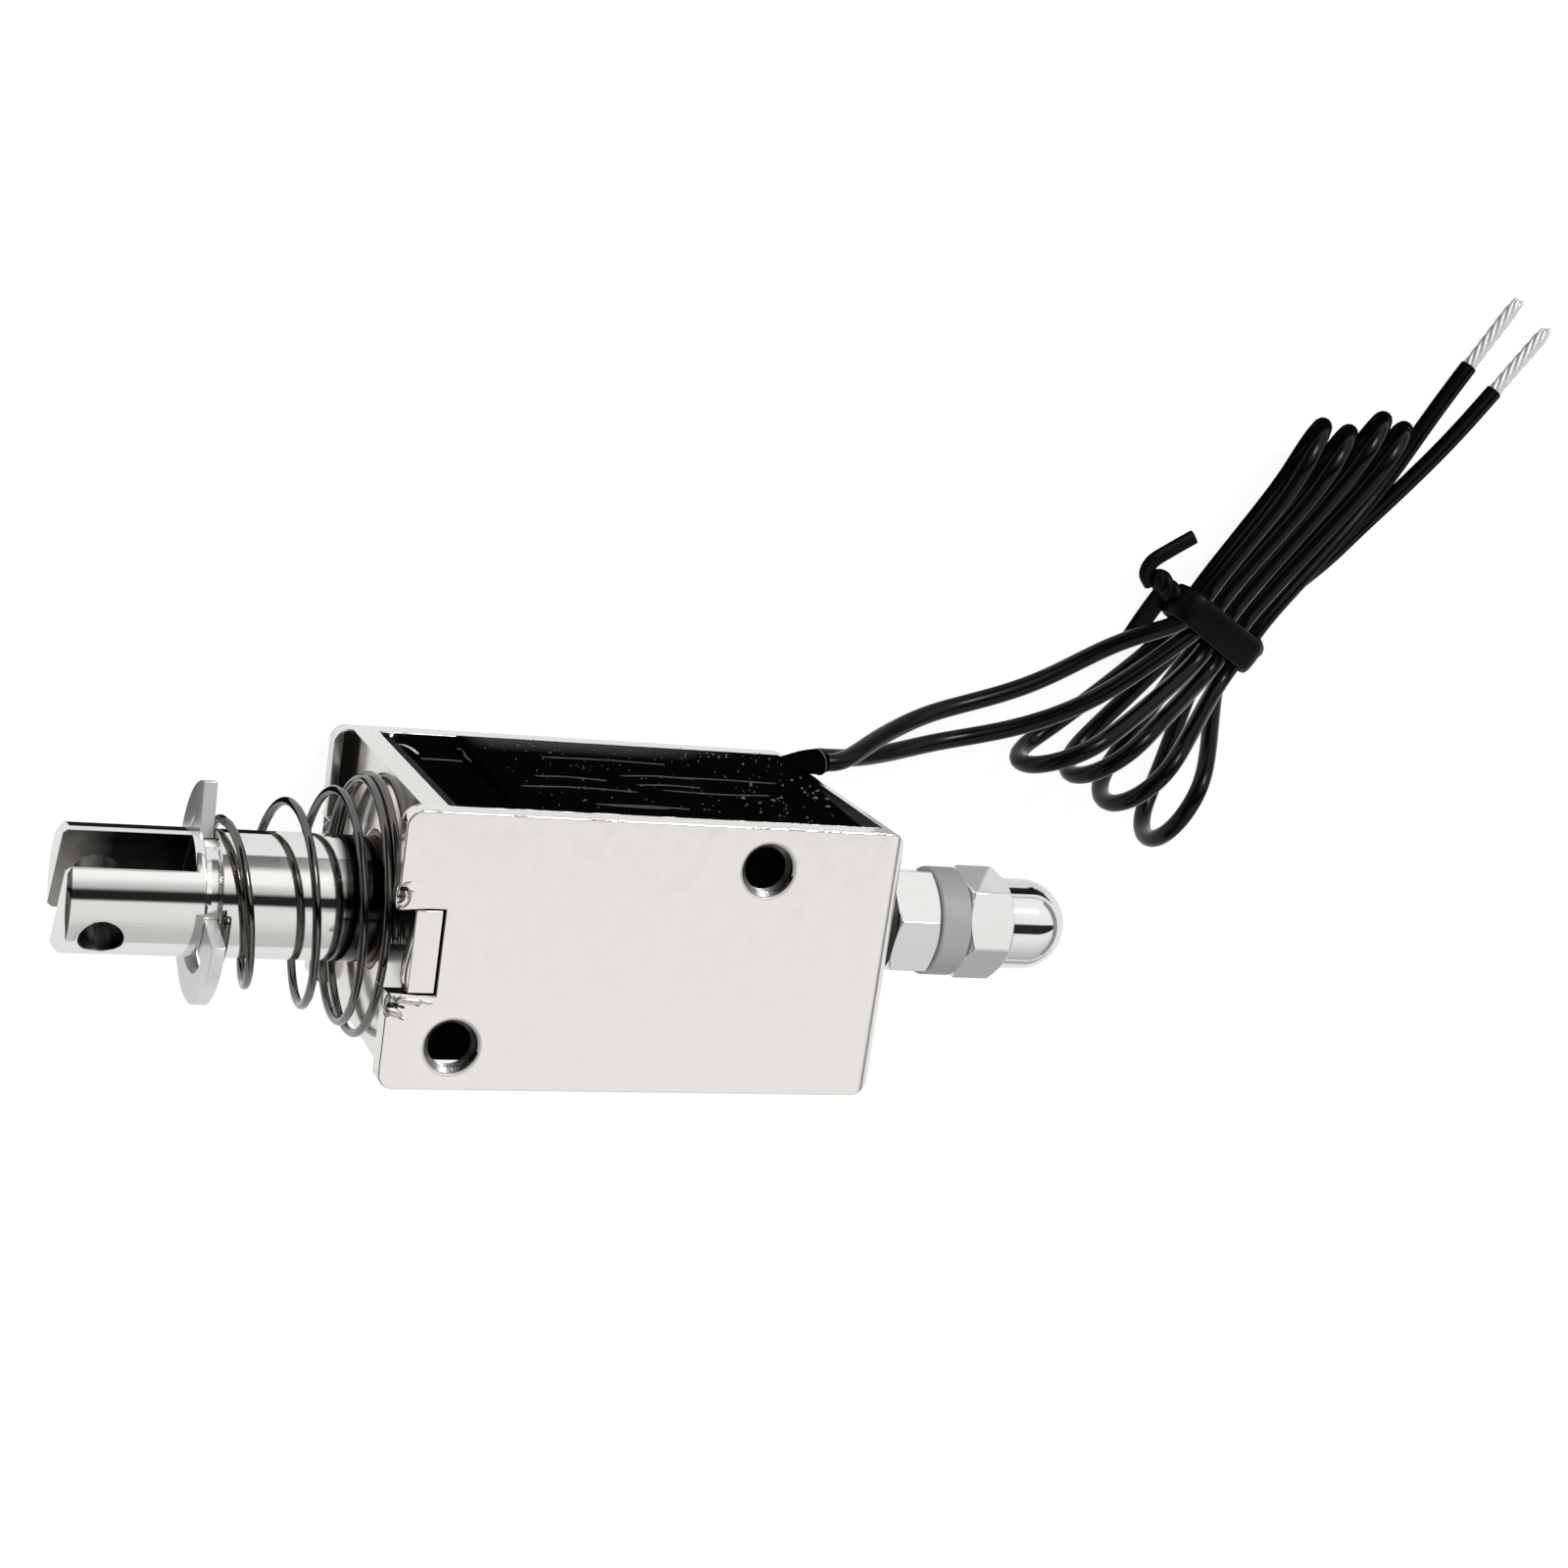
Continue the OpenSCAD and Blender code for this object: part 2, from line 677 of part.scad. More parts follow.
module lead_hank() {
    color("black") difference() {
        union() {
            hank_half(LOW_FOLDS);
            hank_half(HIGH_FOLDS);
        }
        across_tie(tie_w + 2 * slip) difference() {
            neck(2 * neck_w);
            neck(0);
        }
    }
}

module twist_tie() {
    color("black") {
        across_tie(tie_w) difference() {
            neck(slip + tie_t);
            neck(slip);
        }
        hull() {
            translate(KNOT) sphere(r = knot_r, $fn = 24);
            translate([tie_at[0], tie_at[1], 0]) rotate([0, 0, tie_turn - 90])
                translate([neck_shift - neck_w / 2 - slip - tie_t / 2, 0, KNOT[2] + neck_side_r])
                    sphere(r = neck_side_r, $fn = 16);
        }
        hull() for (p = [KNOT, TWIST]) translate(p) sphere(r = twist_r, $fn = 16);
        hull() for (p = [TWIST, TIE_TIP]) translate(p) sphere(r = twist_r, $fn = 16);
    }
}

yoke_frame();
front_plate();
guide_tube();
fixed_core();
core_nut();
stop_washer();
bobbin();
coil_winding();
coil_tape();
splice_a();
splice_b();
exit_sleeve();
return_spring();
e_clip();
plunger();
push_rod();
rod_nut();
cushion_washer();
acorn_nut();
lead_a();
lead_b();
lead_hank();
lead_tail_a();
lead_tail_b();
bare_end_a();
bare_end_b();
twist_tie();
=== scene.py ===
"""Push pull solenoid on a white ground, seen from above its tapped side plate."""
import json
import math
import random

import bmesh
import bpy
import numpy as np
from mathutils import Matrix, Vector
from mathutils.bvhtree import BVHTree

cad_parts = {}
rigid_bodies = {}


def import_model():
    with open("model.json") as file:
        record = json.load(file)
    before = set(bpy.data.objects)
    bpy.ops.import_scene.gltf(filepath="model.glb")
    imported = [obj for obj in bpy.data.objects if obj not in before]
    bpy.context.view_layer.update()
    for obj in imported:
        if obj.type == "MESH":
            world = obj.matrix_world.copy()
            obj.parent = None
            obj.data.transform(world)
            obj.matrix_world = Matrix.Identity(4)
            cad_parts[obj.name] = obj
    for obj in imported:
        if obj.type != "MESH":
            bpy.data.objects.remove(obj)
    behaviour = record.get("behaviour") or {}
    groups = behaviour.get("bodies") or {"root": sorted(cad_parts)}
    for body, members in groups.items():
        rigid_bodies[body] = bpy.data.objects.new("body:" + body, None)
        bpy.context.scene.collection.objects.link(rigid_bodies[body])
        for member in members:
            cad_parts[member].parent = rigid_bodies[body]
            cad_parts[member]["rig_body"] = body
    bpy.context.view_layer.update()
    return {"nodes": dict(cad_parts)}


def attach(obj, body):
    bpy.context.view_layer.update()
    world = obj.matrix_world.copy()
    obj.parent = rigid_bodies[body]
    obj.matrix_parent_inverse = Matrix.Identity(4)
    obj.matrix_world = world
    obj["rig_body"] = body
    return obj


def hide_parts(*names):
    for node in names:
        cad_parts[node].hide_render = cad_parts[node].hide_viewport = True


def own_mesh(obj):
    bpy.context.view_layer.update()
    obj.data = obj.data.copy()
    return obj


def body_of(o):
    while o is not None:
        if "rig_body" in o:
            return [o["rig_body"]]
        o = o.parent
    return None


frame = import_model()
nodes = frame["nodes"]
scene = bpy.context.scene
scene.view_settings.view_transform = "Standard"
MM = 0.001

# ---------------------------------------------------------------- camera
# Fitted place in millimetres, with the directions to the picture's right, its top and its depth
CAM_AT = (-71.105, 59.414, 215.865)
CAM_RIGHT = Vector((0.92472, 0.14301, 0.35275))
CAM_UP = Vector((-0.05245, 0.96577, -0.25403))
CAM_FORWARD = Vector((0.37701, -0.21641, -0.90057))
LENS, SENSOR = 65.87, 36
SEEN_FROM, SEEN_TO = 0.01, 20
camera = bpy.data.objects.new("camera", bpy.data.cameras.new("camera"))
scene.collection.objects.link(camera)
turn = Matrix((CAM_RIGHT, CAM_UP, -CAM_FORWARD)).transposed().to_quaternion()
camera.matrix_world = Matrix.Translation(Vector(CAM_AT) * MM) @ turn.to_matrix().to_4x4()
camera.data.lens = LENS
camera.data.sensor_width = SENSOR
camera.data.clip_start = SEEN_FROM
camera.data.clip_end = SEEN_TO
scene.camera = camera


# ---------------------------------------------------------------- materials
NOISE_LOW, NOISE_HIGH = 0.3, 0.7
NOISE_DETAIL = 4
LEAST_ROUGH = 0.02
# Sockets of a Mix node that mixes colours
MIX_FIRST, MIX_SECOND, MIX_RESULT = 6, 7, 2


def feed(tree, socket, value):
    """Puts a number, a colour or another node's output into a socket."""
    if isinstance(value, bpy.types.NodeSocket):
        tree.links.new(value, socket)
    else:
        socket.default_value = value


def math_node(tree, operation, *values, clamp=False):
    made = tree.nodes.new("ShaderNodeMath")
    made.operation = operation
    made.use_clamp = clamp
    for socket, value in zip(made.inputs, values):
        feed(tree, socket, value)
    return made.outputs["Value"]


def map_range(tree, value, from_min, from_max, to_min=0, to_max=1):
    made = tree.nodes.new("ShaderNodeMapRange")
    feed(tree, made.inputs["Value"], value)
    made.inputs["From Min"].default_value = from_min
    made.inputs["From Max"].default_value = from_max
    made.inputs["To Min"].default_value = to_min
    made.inputs["To Max"].default_value = to_max
    return made.outputs["Result"]


def mix_colors(tree, amount, first, second):
    made = tree.nodes.new("ShaderNodeMix")
    made.data_type = "RGBA"
    feed(tree, made.inputs[0], amount)
    feed(tree, made.inputs[MIX_FIRST], first)
    feed(tree, made.inputs[MIX_SECOND], second)
    return made.outputs[MIX_RESULT]


def material(name, color, rough, metal=0.0, specular=0.5, *, grain):
    """Principled material. grain is the noise's scale, the change in roughness, the bump's
    strength and the bump's distance in metres."""
    scale, rough_change, strength, distance = grain
    made = bpy.data.materials.new(name)
    made.use_nodes = True
    tree = made.node_tree
    shader = tree.nodes["Principled BSDF"]
    shader.inputs["Base Color"].default_value = (*color, 1)
    shader.inputs["Roughness"].default_value = rough
    shader.inputs["Metallic"].default_value = metal
    shader.inputs["Specular IOR Level"].default_value = specular
    where = tree.nodes.new("ShaderNodeTexCoord")
    noise = tree.nodes.new("ShaderNodeTexNoise")
    noise.inputs["Scale"].default_value = scale
    noise.inputs["Detail"].default_value = NOISE_DETAIL
    tree.links.new(where.outputs["Object"], noise.inputs["Vector"])
    uneven = map_range(tree, noise.outputs["Fac"], NOISE_LOW, NOISE_HIGH,
                       max(LEAST_ROUGH, rough - rough_change), rough + rough_change)
    tree.links.new(uneven, shader.inputs["Roughness"])
    if strength:
        bump = tree.nodes.new("ShaderNodeBump")
        bump.inputs["Strength"].default_value = strength
        bump.inputs["Distance"].default_value = distance
        tree.links.new(noise.outputs["Fac"], bump.inputs["Height"])
        tree.links.new(bump.outputs["Normal"], shader.inputs["Normal"])
    return made


FINE = (3000, 0.02, 0.03, 0.00001)
WORN = (1500, 0.05, 0.08, 0.00002)
ROUGH = (900, 0.08, 0.2, 0.00003)
SOFT = (900, 0.1, 0.1, 0.00003)
NICKEL = material("nickel", (0.945, 0.92, 0.89), 0.13, 1, grain=(900, 0.03, 0.05, 0.00002))
BURR = material("burr", (0.75, 0.74, 0.72), 0.3, 1, grain=(4000, 0.1, 0.4, 0.00003))
CHROME = material("plunger_steel", (0.90, 0.89, 0.875), 0.07, 1, grain=FINE)
NUT = material("bright_nut", (0.90, 0.895, 0.885), 0.06, 1, grain=FINE)
CLIP = material("clip_steel", (0.92, 0.915, 0.905), 0.32, 0.55,
                grain=(700, 0.04, 0.0, 0.00002))
SPRING = material("spring_steel", (0.16, 0.153, 0.146), 0.10, 1,
                  grain=(3000, 0.04, 0.05, 0.00001))
BRASS = material("brass", (0.30, 0.25, 0.17), 0.3, 1, grain=WORN)
STEEL = material("steel", (0.62, 0.61, 0.60), 0.25, 1, grain=WORN)
RUBBER = material("rubber", (0.012, 0.012, 0.012), 0.55, grain=(1200, 0.1, 0.1, 0.00003))
NYLON = material("black_nylon", (0.003, 0.003, 0.003), 0.4, specular=0.01,
                 grain=(900, 0.08, 0.08, 0.00003))
COPPER = material("copper", (0.72, 0.34, 0.2), 0.25, 1, grain=WORN)
TAPE = material("black_tape", (0.003, 0.003, 0.003), 0.42, specular=0.0,
                grain=(500, 0.1, 0.35, 0.00008))
# Painted highlight: grey for lines on the tape's fold and end and round the mound's lip
TAPE_HIGHLIGHT = material("tape_edge_highlight", (0.13, 0.13, 0.13), 0.5, grain=SOFT)
TAPE_CREASE = material("tape_crease", (0.012, 0.012, 0.012), 0.5, grain=SOFT)
SLEEVE = material("black_sleeve", (0.003, 0.003, 0.003), 0.45, specular=0.02, grain=SOFT)
GREY = material("grey_nylon", (0.455, 0.455, 0.45), 0.5, grain=(700, 0.05, 0.08, 0.00002))
LEAD = material("lead_insulation", (0.002, 0.002, 0.002), 0.17, specular=0.2,
                grain=(700, 0.06, 0.08, 0.00002))
TIN = material("tinned_strands", (0.90, 0.90, 0.885), 0.5, 0.4,
               grain=(3000, 0.08, 0.2, 0.00002))
TIE = material("tie_plastic", (0.003, 0.003, 0.003), 0.4, specular=0.1,
               grain=(900, 0.08, 0.1, 0.00003))
SLOT_STEEL = material("slot_steel", (0.40, 0.385, 0.36), 0.36, 1, grain=ROUGH)
RIM_STEEL = material("rim_steel", (0.80, 0.78, 0.745), 0.5, 0.3, grain=WORN)
# Painted shade: near black steel for the hole and notch walls, the tabs' sides, the stake pits and
# the far corner
SHADE_STEEL = material("painted_shade_steel", (0.05, 0.048, 0.045), 0.4, 1, grain=ROUGH)
# Painted shade: the threads are darkened steel
SHADED_THREAD_STEEL = material("shaded_thread_steel", (0.20, 0.197, 0.193), 0.28, 1,
                        grain=(1500, 0.05, 0.1, 0.00002))
DUST = material("dust", (0.17, 0.17, 0.165), 0.8, grain=(2000, 0.1, 0.2, 0.00002))

PAINT_GRAIN = 1400
PAINT_UNEVEN, PAINT_LEAST = 0.8, 0.6


def band(tree, axis, start, full, end, gone):
    """Rises from start to full and falls from end to gone, along one axis in millimetres."""
    where = tree.nodes.new("ShaderNodeTexCoord")
    split = tree.nodes.new("ShaderNodeSeparateXYZ")
    tree.links.new(where.outputs["Object"], split.inputs["Vector"])
    place = split.outputs[axis]
    return math_node(tree, "MULTIPLY", map_range(tree, place, start * MM, full * MM),
                     map_range(tree, place, gone * MM, end * MM))


def painted_light(look, bands, color):
    """Painted light or shade: another colour on a look, where all the bands meet."""
    tree = look.node_tree
    base = tree.nodes["Principled BSDF"].inputs["Base Color"]
    amount = band(tree, *bands[0])
    for more in bands[1:]:
        amount = math_node(tree, "MULTIPLY", amount, band(tree, *more))
    noise = tree.nodes.new("ShaderNodeTexNoise")
    noise.inputs["Scale"].default_value = PAINT_GRAIN
    uneven = math_node(tree, "MULTIPLY_ADD", noise.outputs["Fac"], PAINT_UNEVEN, PAINT_LEAST,
                       clamp=True)
    amount = math_node(tree, "MULTIPLY", amount, uneven)
    tree.links.new(mix_colors(tree, amount, base.default_value, (*color, 1)), base)


# Painted shade where the plunger runs into the coil
painted_light(CHROME, [("X", -21.7, -21.0, -10, -9)], (0.02, 0.018, 0.016))
# Painted highlight: a lighter band along the tape's far shoulder
painted_light(TAPE, [("Z", 2.4, 3.4, 4.6, 7.5), ("X", -10, -8, 3, 13)], (0.085, 0.085, 0.085))
# Painted shade: the slot is black inside away from the open end
painted_light(SLOT_STEEL, [("X", -40.2, -37.4, -10, -9)], (0.004, 0.004, 0.004))

NODE_LOOKS = {
    "yoke_frame": NICKEL, "front_plate": NICKEL, "guide_tube": BRASS, "fixed_core": STEEL,
    "core_nut": NUT, "stop_washer": RUBBER, "bobbin": NYLON, "coil_winding": COPPER,
    "coil_tape": TAPE, "splice_a": SLEEVE, "splice_b": SLEEVE, "exit_sleeve": SLEEVE,
    "return_spring": SPRING, "e_clip": CLIP, "plunger": CHROME, "push_rod": STEEL,
    "rod_nut": NUT, "cushion_washer": GREY, "acorn_nut": NUT, "lead_a": LEAD, "lead_b": LEAD,
    "lead_hank": LEAD, "lead_tail_a": LEAD, "lead_tail_b": LEAD, "bare_end_a": TIN,
    "bare_end_b": TIN, "twist_tie": TIE,
}
for node_name, look in NODE_LOOKS.items():
    mesh = nodes[node_name].data
    mesh.materials.clear()
    mesh.materials.append(look)


# ---------------------------------------------------------------- mesh helpers
def piece(name, verts, faces, look, smooth=True):
    """Mesh piece on the frame's body, from points in millimetres."""
    mesh = bpy.data.meshes.new(name)
    mesh.from_pydata([tuple(float(x) * MM for x in v) for v in verts], [], faces)
    mesh.update()
    mesh.materials.append(look)
    mesh.polygons.foreach_set("use_smooth", [smooth] * len(mesh.polygons))
    made = bpy.data.objects.new(name, mesh)
    scene.collection.objects.link(made)
    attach(made, "frame")
    return made


def unit(v):
    v = np.asarray(v, float)
    return v / np.linalg.norm(v)


def swept(points, profiles, lean, closed=False):
    """Vertices and faces of a section swept along points. profiles[i] is a list of (side, up)."""
    points = [np.asarray(p, float) for p in points]
    count, sides = len(points), len(profiles[0])
    verts, faces = [], []
    for i, p in enumerate(points):
        before = points[(i - 1) % count] if closed or i > 0 else p
        after = points[(i + 1) % count] if closed or i < count - 1 else p
        along = unit(after - before)
        side = unit(np.cross(along, lean[i] if isinstance(lean, list) else lean))
        up = np.cross(side, along)
        verts += [p + a * side + b * up for a, b in profiles[i]]
    last = count if closed else count - 1
    for i in range(last):
        for k in range(sides):
            a, b = i * sides + k, i * sides + (k + 1) % sides
            c, d = ((i + 1) % count) * sides + (k + 1) % sides, ((i + 1) % count) * sides + k
            faces.append((a, d, c, b))
    if not closed:
        faces.append(tuple(range(sides)))
        faces.append(tuple(range((count - 1) * sides, count * sides))[::-1])
    return verts, faces


def circle(r, sides=16):
    return [(r * math.cos(2 * math.pi * k / sides), r * math.sin(2 * math.pi * k / sides))
            for k in range(sides)]


def oval(a, b, sides=20, power=2.0):
    """Section like an ellipse; a power above 2 makes it squarer."""
    out = []
    for k in range(sides):
        c, s = math.cos(2 * math.pi * k / sides), math.sin(2 * math.pi * k / sides)
        out.append((a * math.copysign(abs(c) ** (2 / power), c),
                    b * math.copysign(abs(s) ** (2 / power), s)))
    return out


MERGE_GAP = 0.003
FLAT_ANGLE = 1.2
BEVEL_STEPS = 2


def crisp(node, width, angle=30, looks=(), sharp=None):
    """A CAD node's own shape, in place of the node, with every edge rounded that turns by more
    than angle. looks pairs a test of a face's centre, in millimetres, and normal with the look
    that such faces take. sharp tests an edge's centre and keeps that edge as it is."""
    source = nodes[node]
    shape = bmesh.new()
    shape.from_mesh(source.data)
    bmesh.ops.remove_doubles(shape, verts=shape.verts, dist=MERGE_GAP * MM)
    bmesh.ops.dissolve_limit(shape, angle_limit=math.radians(FLAT_ANGLE), verts=shape.verts,
                             edges=shape.edges)
    rounded = []
    for edge in shape.edges:
        middle = np.array((edge.verts[0].co + edge.verts[1].co) / 2) / MM
        turned = len(edge.link_faces) == 2 and edge.calc_face_angle(0) > math.radians(angle)
        rounded.append(float(turned and not (sharp and sharp(middle))))
    mesh = bpy.data.meshes.new(node + "_shown")
    shape.to_mesh(mesh)
    shape.free()
    weights = mesh.attributes.new("bevel_weight_edge", "FLOAT", "EDGE")
    weights.data.foreach_set("value", rounded)
    mesh.materials.append(NODE_LOOKS[node])
    mesh.polygons.foreach_set("use_smooth", [True] * len(mesh.polygons))
    for k, (chosen, look) in enumerate(looks):
        mesh.materials.append(look)
        for face in mesh.polygons:
            if chosen(np.array(face.center) / MM, np.array(face.normal)):
                face.material_index = k + 1
    made = bpy.data.objects.new(node + "_shown", mesh)
    scene.collection.objects.link(made)
    bevel = made.modifiers.new("edges", "BEVEL")
    bevel.width = width * MM
    bevel.segments = BEVEL_STEPS
    bevel.limit_method = "WEIGHT"
    bevel.use_clamp_overlap = False
    normals = made.modifiers.new("normals", "WEIGHTED_NORMAL")
    normals.mode = "FACE_AREA"
    normals.weight = 50
    normals.keep_sharp = False
    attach(made, body_of(source)[0])
    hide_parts(node)


# ---------------------------------------------------------------- leads
WIRE_D = 1.5
FOLD_R = 4.5
PITCH = 1.53
ROW_LOW, ROW_HIGH = 1.85, 3.40
TIE_AT = np.array((55.8, 24.0, 0))
TIE_TURN = math.radians(60)
ALONG = np.array((math.cos(TIE_TURN), math.sin(TIE_TURN), 0))
ACROSS = np.array((math.sin(TIE_TURN), -math.cos(TIE_TURN), 0))
UP = np.array((0, 0, 1.0))
FLOOR_GAP = 0.05
MIDDLE_SLOT = 3
# Where a strand's straight length has its points, and where its loops begin
LOOP_AT = 4
STRAIGHT = (-1.6, 0, 1.6, LOOP_AT)
FOLD_STEPS = 6
# Shares of a slot by which a lead's first pass and its last loop stand aside
FIRST_ASIDE, LAST_ASIDE = 0.3, 0.6
LEAD_A = [(19.3, 11.45, 8), (20.3, 11.45, 8), (21.8, 11.9, 7.3), (24.3, 12.9, 5.4),
          (27.3, 13.8, 3.4), (30.6, 14.7, 1.6), (33.9, 15.5, 0.8), (37.4, 16.6, 0.8),
          (40.9, 18, 0.8), (44.1, 19.9, 0.9), (47, 21.9, 1.6), (49.5, 23.3, 2.7)]
LEAD_B = [(19.3, 11.45, 6.2), (20.3, 11.45, 6.2), (22.4, 11.3, 5.4), (25.2, 11.3, 3.9),
          (28.4, 11.6, 2.3), (31.8, 12.2, 1.2), (35.2, 12.9, 1.1), (38.6, 13.9, 1.7),
          (41.9, 15.4, 2.6), (45.3, 17.4, 3.3), (48.7, 19.9, 3.4)]
TAIL_A = [(65.2, 31.1, 2.5), (67.9, 34.2, 1.9), (70.5, 37.2, 1.2), (72.8, 40.6, 0.8),
          (75.3, 45.2, 0.8), (77.6, 48.9, 0.8)]
TAIL_B = [(66.3, 30.3, 1.1), (69, 33.2, 0.8), (71.8, 36.2, 0.8), (75.1, 39.8, 0.8),
          (78.1, 43.4, 0.8), (80.7, 47, 0.8)]
# Outer end of each loop (x, y), its heading in degrees and its lean
UP_TIPS = [(63.2, 41.8, 67), (65.8, 41.4, 64), (68.9, 42.8, 63), (71.1, 42.1, 61)]
UP_LEAN = 25.8
LOW_TIPS = [(38.3, 11.8, 210, -5), (43.1, 11.1, 224, -6), (46.8, 8.9, 233, -3),
            (51.4, 5.9, 247, -9)]


def slot_at(k, z, s):
    """Point in the strand slot k of the tie, s along the strands."""
    p = TIE_AT + ACROSS * (k - MIDDLE_SLOT) * PITCH + ALONG * s
    return np.array((p[0], p[1], z))


def fold(tip, heading, lean, start, end, at_floor=True):
    """Curve points round a strand's fold, which stands on edge, between two tangents."""
    h, lean = math.radians(heading), math.radians(lean)
    u = np.array((math.cos(h), math.sin(h), 0))
    left = np.array((-u[1], u[0], 0))
    up = math.cos(lean) * UP + math.sin(lean) * left
    floor = WIRE_D / 2 + FLOOR_GAP
    if at_floor:
        centre = np.array((*tip, floor)) - u * FOLD_R + up * FOLD_R
    else:
        centre = np.array((*tip, floor + FOLD_R * up[2])) - u * FOLD_R

    def touch(p, side):
        a, b = float((p - centre) @ u), float((p - centre) @ up)
        return math.atan2(b, a) % (2 * math.pi) + side * math.acos(FOLD_R / math.hypot(a, b))

    first, last = touch(start, 1) - 2 * math.pi, touch(end, -1)
    r = FOLD_R * 3 / (2 + math.cos((last - first) / FOLD_STEPS))
    return [centre + r * (math.cos(a) * u + math.sin(a) * up)
            for a in np.linspace(first, last, FOLD_STEPS + 1)]


def up_loop(i, k):
    """Out along slot k in the high row, round the upper fold i, and back in the low row."""
    x, y, heading = UP_TIPS[i]
    bend = fold((x, y), heading, UP_LEAN, slot_at(k, ROW_LOW, LOOP_AT),
                slot_at(k, ROW_HIGH, LOOP_AT))
    out = [slot_at(k, ROW_LOW, s) for s in STRAIGHT] + bend
    out += [slot_at(k, ROW_HIGH, s) for s in STRAIGHT[::-1]]
    out = out[::-1]
    if i < 2:
        out[0] = slot_at(k - FIRST_ASIDE, ROW_HIGH, STRAIGHT[0])
    return out


def low_loop(j, k_from, k_to, z_to=ROW_HIGH):
    """From slot k_from in the low row round the lower fold j to slot k_to."""
    x, y, heading, lean = LOW_TIPS[j]
    start = slot_at(k_from, ROW_LOW, -LOOP_AT)
    end = slot_at(k_to + (LAST_ASIDE if z_to == ROW_LOW else 0), z_to, -LOOP_AT)
    return [start] + fold((x, y), heading, lean, start, end, at_floor=False) + [end]


def wire_points(lead, tail, slots, ups, lows, z_last):
    """A lead's whole path: out of the coil, five times past the tie, and along its tail."""
    k1, k2, k3 = slots
    return (lead + up_loop(ups[0], k1) + low_loop(lows[0], k1, k2) + up_loop(ups[1], k2)
            + low_loop(lows[1], k2, k3, z_last)
            + [slot_at(k3, z_last, s) for s in STRAIGHT] + tail)


def wire(name, points):
    """One round curve through a lead's control points."""
    data = bpy.data.curves.new(name, "CURVE")
    data.dimensions = "3D"
    line = data.splines.new("NURBS")
    line.points.add(len(points) - 1)
    for spot, p in zip(line.points, points):
        spot.co = (*(float(x) * MM for x in p), 1)
    line.order_u = 4
    line.use_endpoint_u = True
    line.resolution_u = 10
    line.use_smooth = True
    data.bevel_depth = WIRE_D / 2 * MM
    data.bevel_resolution = 5
    data.use_fill_caps = True
    data.materials.append(LEAD)
    made = bpy.data.objects.new(name, data)
    scene.collection.objects.link(made)
    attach(made, "frame")
    return made


wire_a = wire("wire_a", wire_points(LEAD_A, TAIL_A, (1, 3, 5), (0, 2), (0, 2), ROW_HIGH))
wire_b = wire("wire_b", wire_points(LEAD_B, TAIL_B, (2, 4, 5), (1, 3), (1, 3), ROW_LOW))
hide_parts("lead_a", "lead_tail_a", "lead_hank")
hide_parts("lead_b", "lead_tail_b")

# Bare ends: seven tinned strands twisted round each other
STRANDS = 7
STRAND_R = 0.20
BARE_R = 0.40
BARE_L = 7.5
TWIST_L = 7.0
STRAND_STEPS = 40
# Length hidden in the insulation, and the most that a strand falls short
INSIDE, RAGGED = 0.4, 0.5
# The twist narrows over the last share of its length, and each strand ends round
NARROWS, NARROW_SHARE = 0.35, 0.15
ROUND_SHARE, ROUND_LEAST = 0.03, 0.02


def strands(name, tail, node, turned):
    """Twisted strands that go straight on from a tail's last point."""
    root = np.array(tail[-1], float)
    along = unit(root - np.array(tail[-2], float))
    side = unit(np.cross(along, UP))
    up = np.cross(side, along)
    verts, faces = [], []
    outer = STRANDS - 1
    for n in range(STRANDS):
        length = BARE_L - RAGGED * ((n * 5) % STRANDS) / STRANDS
        points, profiles = [], []
        for i in range(STRAND_STEPS + 1):
            share = i / STRAND_STEPS
            s = -INSIDE + (length + INSIDE) * share
            a = 2 * math.pi * (n / outer + s / TWIST_L) + turned
            narrowed = max(0, share - 1 + NARROW_SHARE) / NARROW_SHARE
            r = BARE_R * (1 - NARROWS * narrowed) if n < outer else 0
            points.append(root + along * s + r * (math.cos(a) * side + math.sin(a) * up))
            rounded = max(0, share - 1 + ROUND_SHARE) / ROUND_SHARE
            end = math.sqrt(max(ROUND_LEAST, 1 - rounded ** 2))
            profiles.append(circle(STRAND_R * end, 10))
        v, f = swept(points, profiles, up)
        faces += [tuple(k + len(verts) for k in face) for face in f]
        verts += v
    made = piece(name, verts, faces, TIN)
    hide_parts(node)
    return made


strands_a = strands("strands_a", TAIL_A, "bare_end_a", 0.3)
strands_b = strands("strands_b", TAIL_B, "bare_end_b", 1.4)

# Twist tie: a band round the strands, a twisted knob and a bent end
BAND_T = 0.7
BAND_W = 2.9
BAND_LEFT, BAND_RIGHT = -4.45, 4.05
BAND_LOW, BAND_HIGH = 1.05, 4.22
BAND_CORNER = 1.6
BAND_MIDDLE = 2.6
CORNER_STEPS = 8
KNOB_START, KNOB_L, KNOB_Z, KNOB_R = -0.55, 2.7, 2.3, 0.48
KNOB_STEPS = 24


def band_path():
    """Rounded rectangle round the strands, in the plane across them."""
    grow, corner = BAND_T / 2, BAND_CORNER
    left, right = BAND_LEFT - grow, BAND_RIGHT + grow
    low, high = BAND_LOW - grow, BAND_HIGH + grow
    out = []
    for cx, cz, start in ((right, high, 0), (left, high, 90), (left, low, 180), (right, low, 270)):
        sx = cx - corner if cx > 0 else cx + corner
        sz = cz - corner if start < 180 else cz + corner
        for i in range(CORNER_STEPS + 1):
            a = math.radians(start + i * 90 / CORNER_STEPS)
            out.append(TIE_AT + ACROSS * (sx + corner * math.cos(a))
                       + UP * (sz + corner * math.sin(a)))
    return out


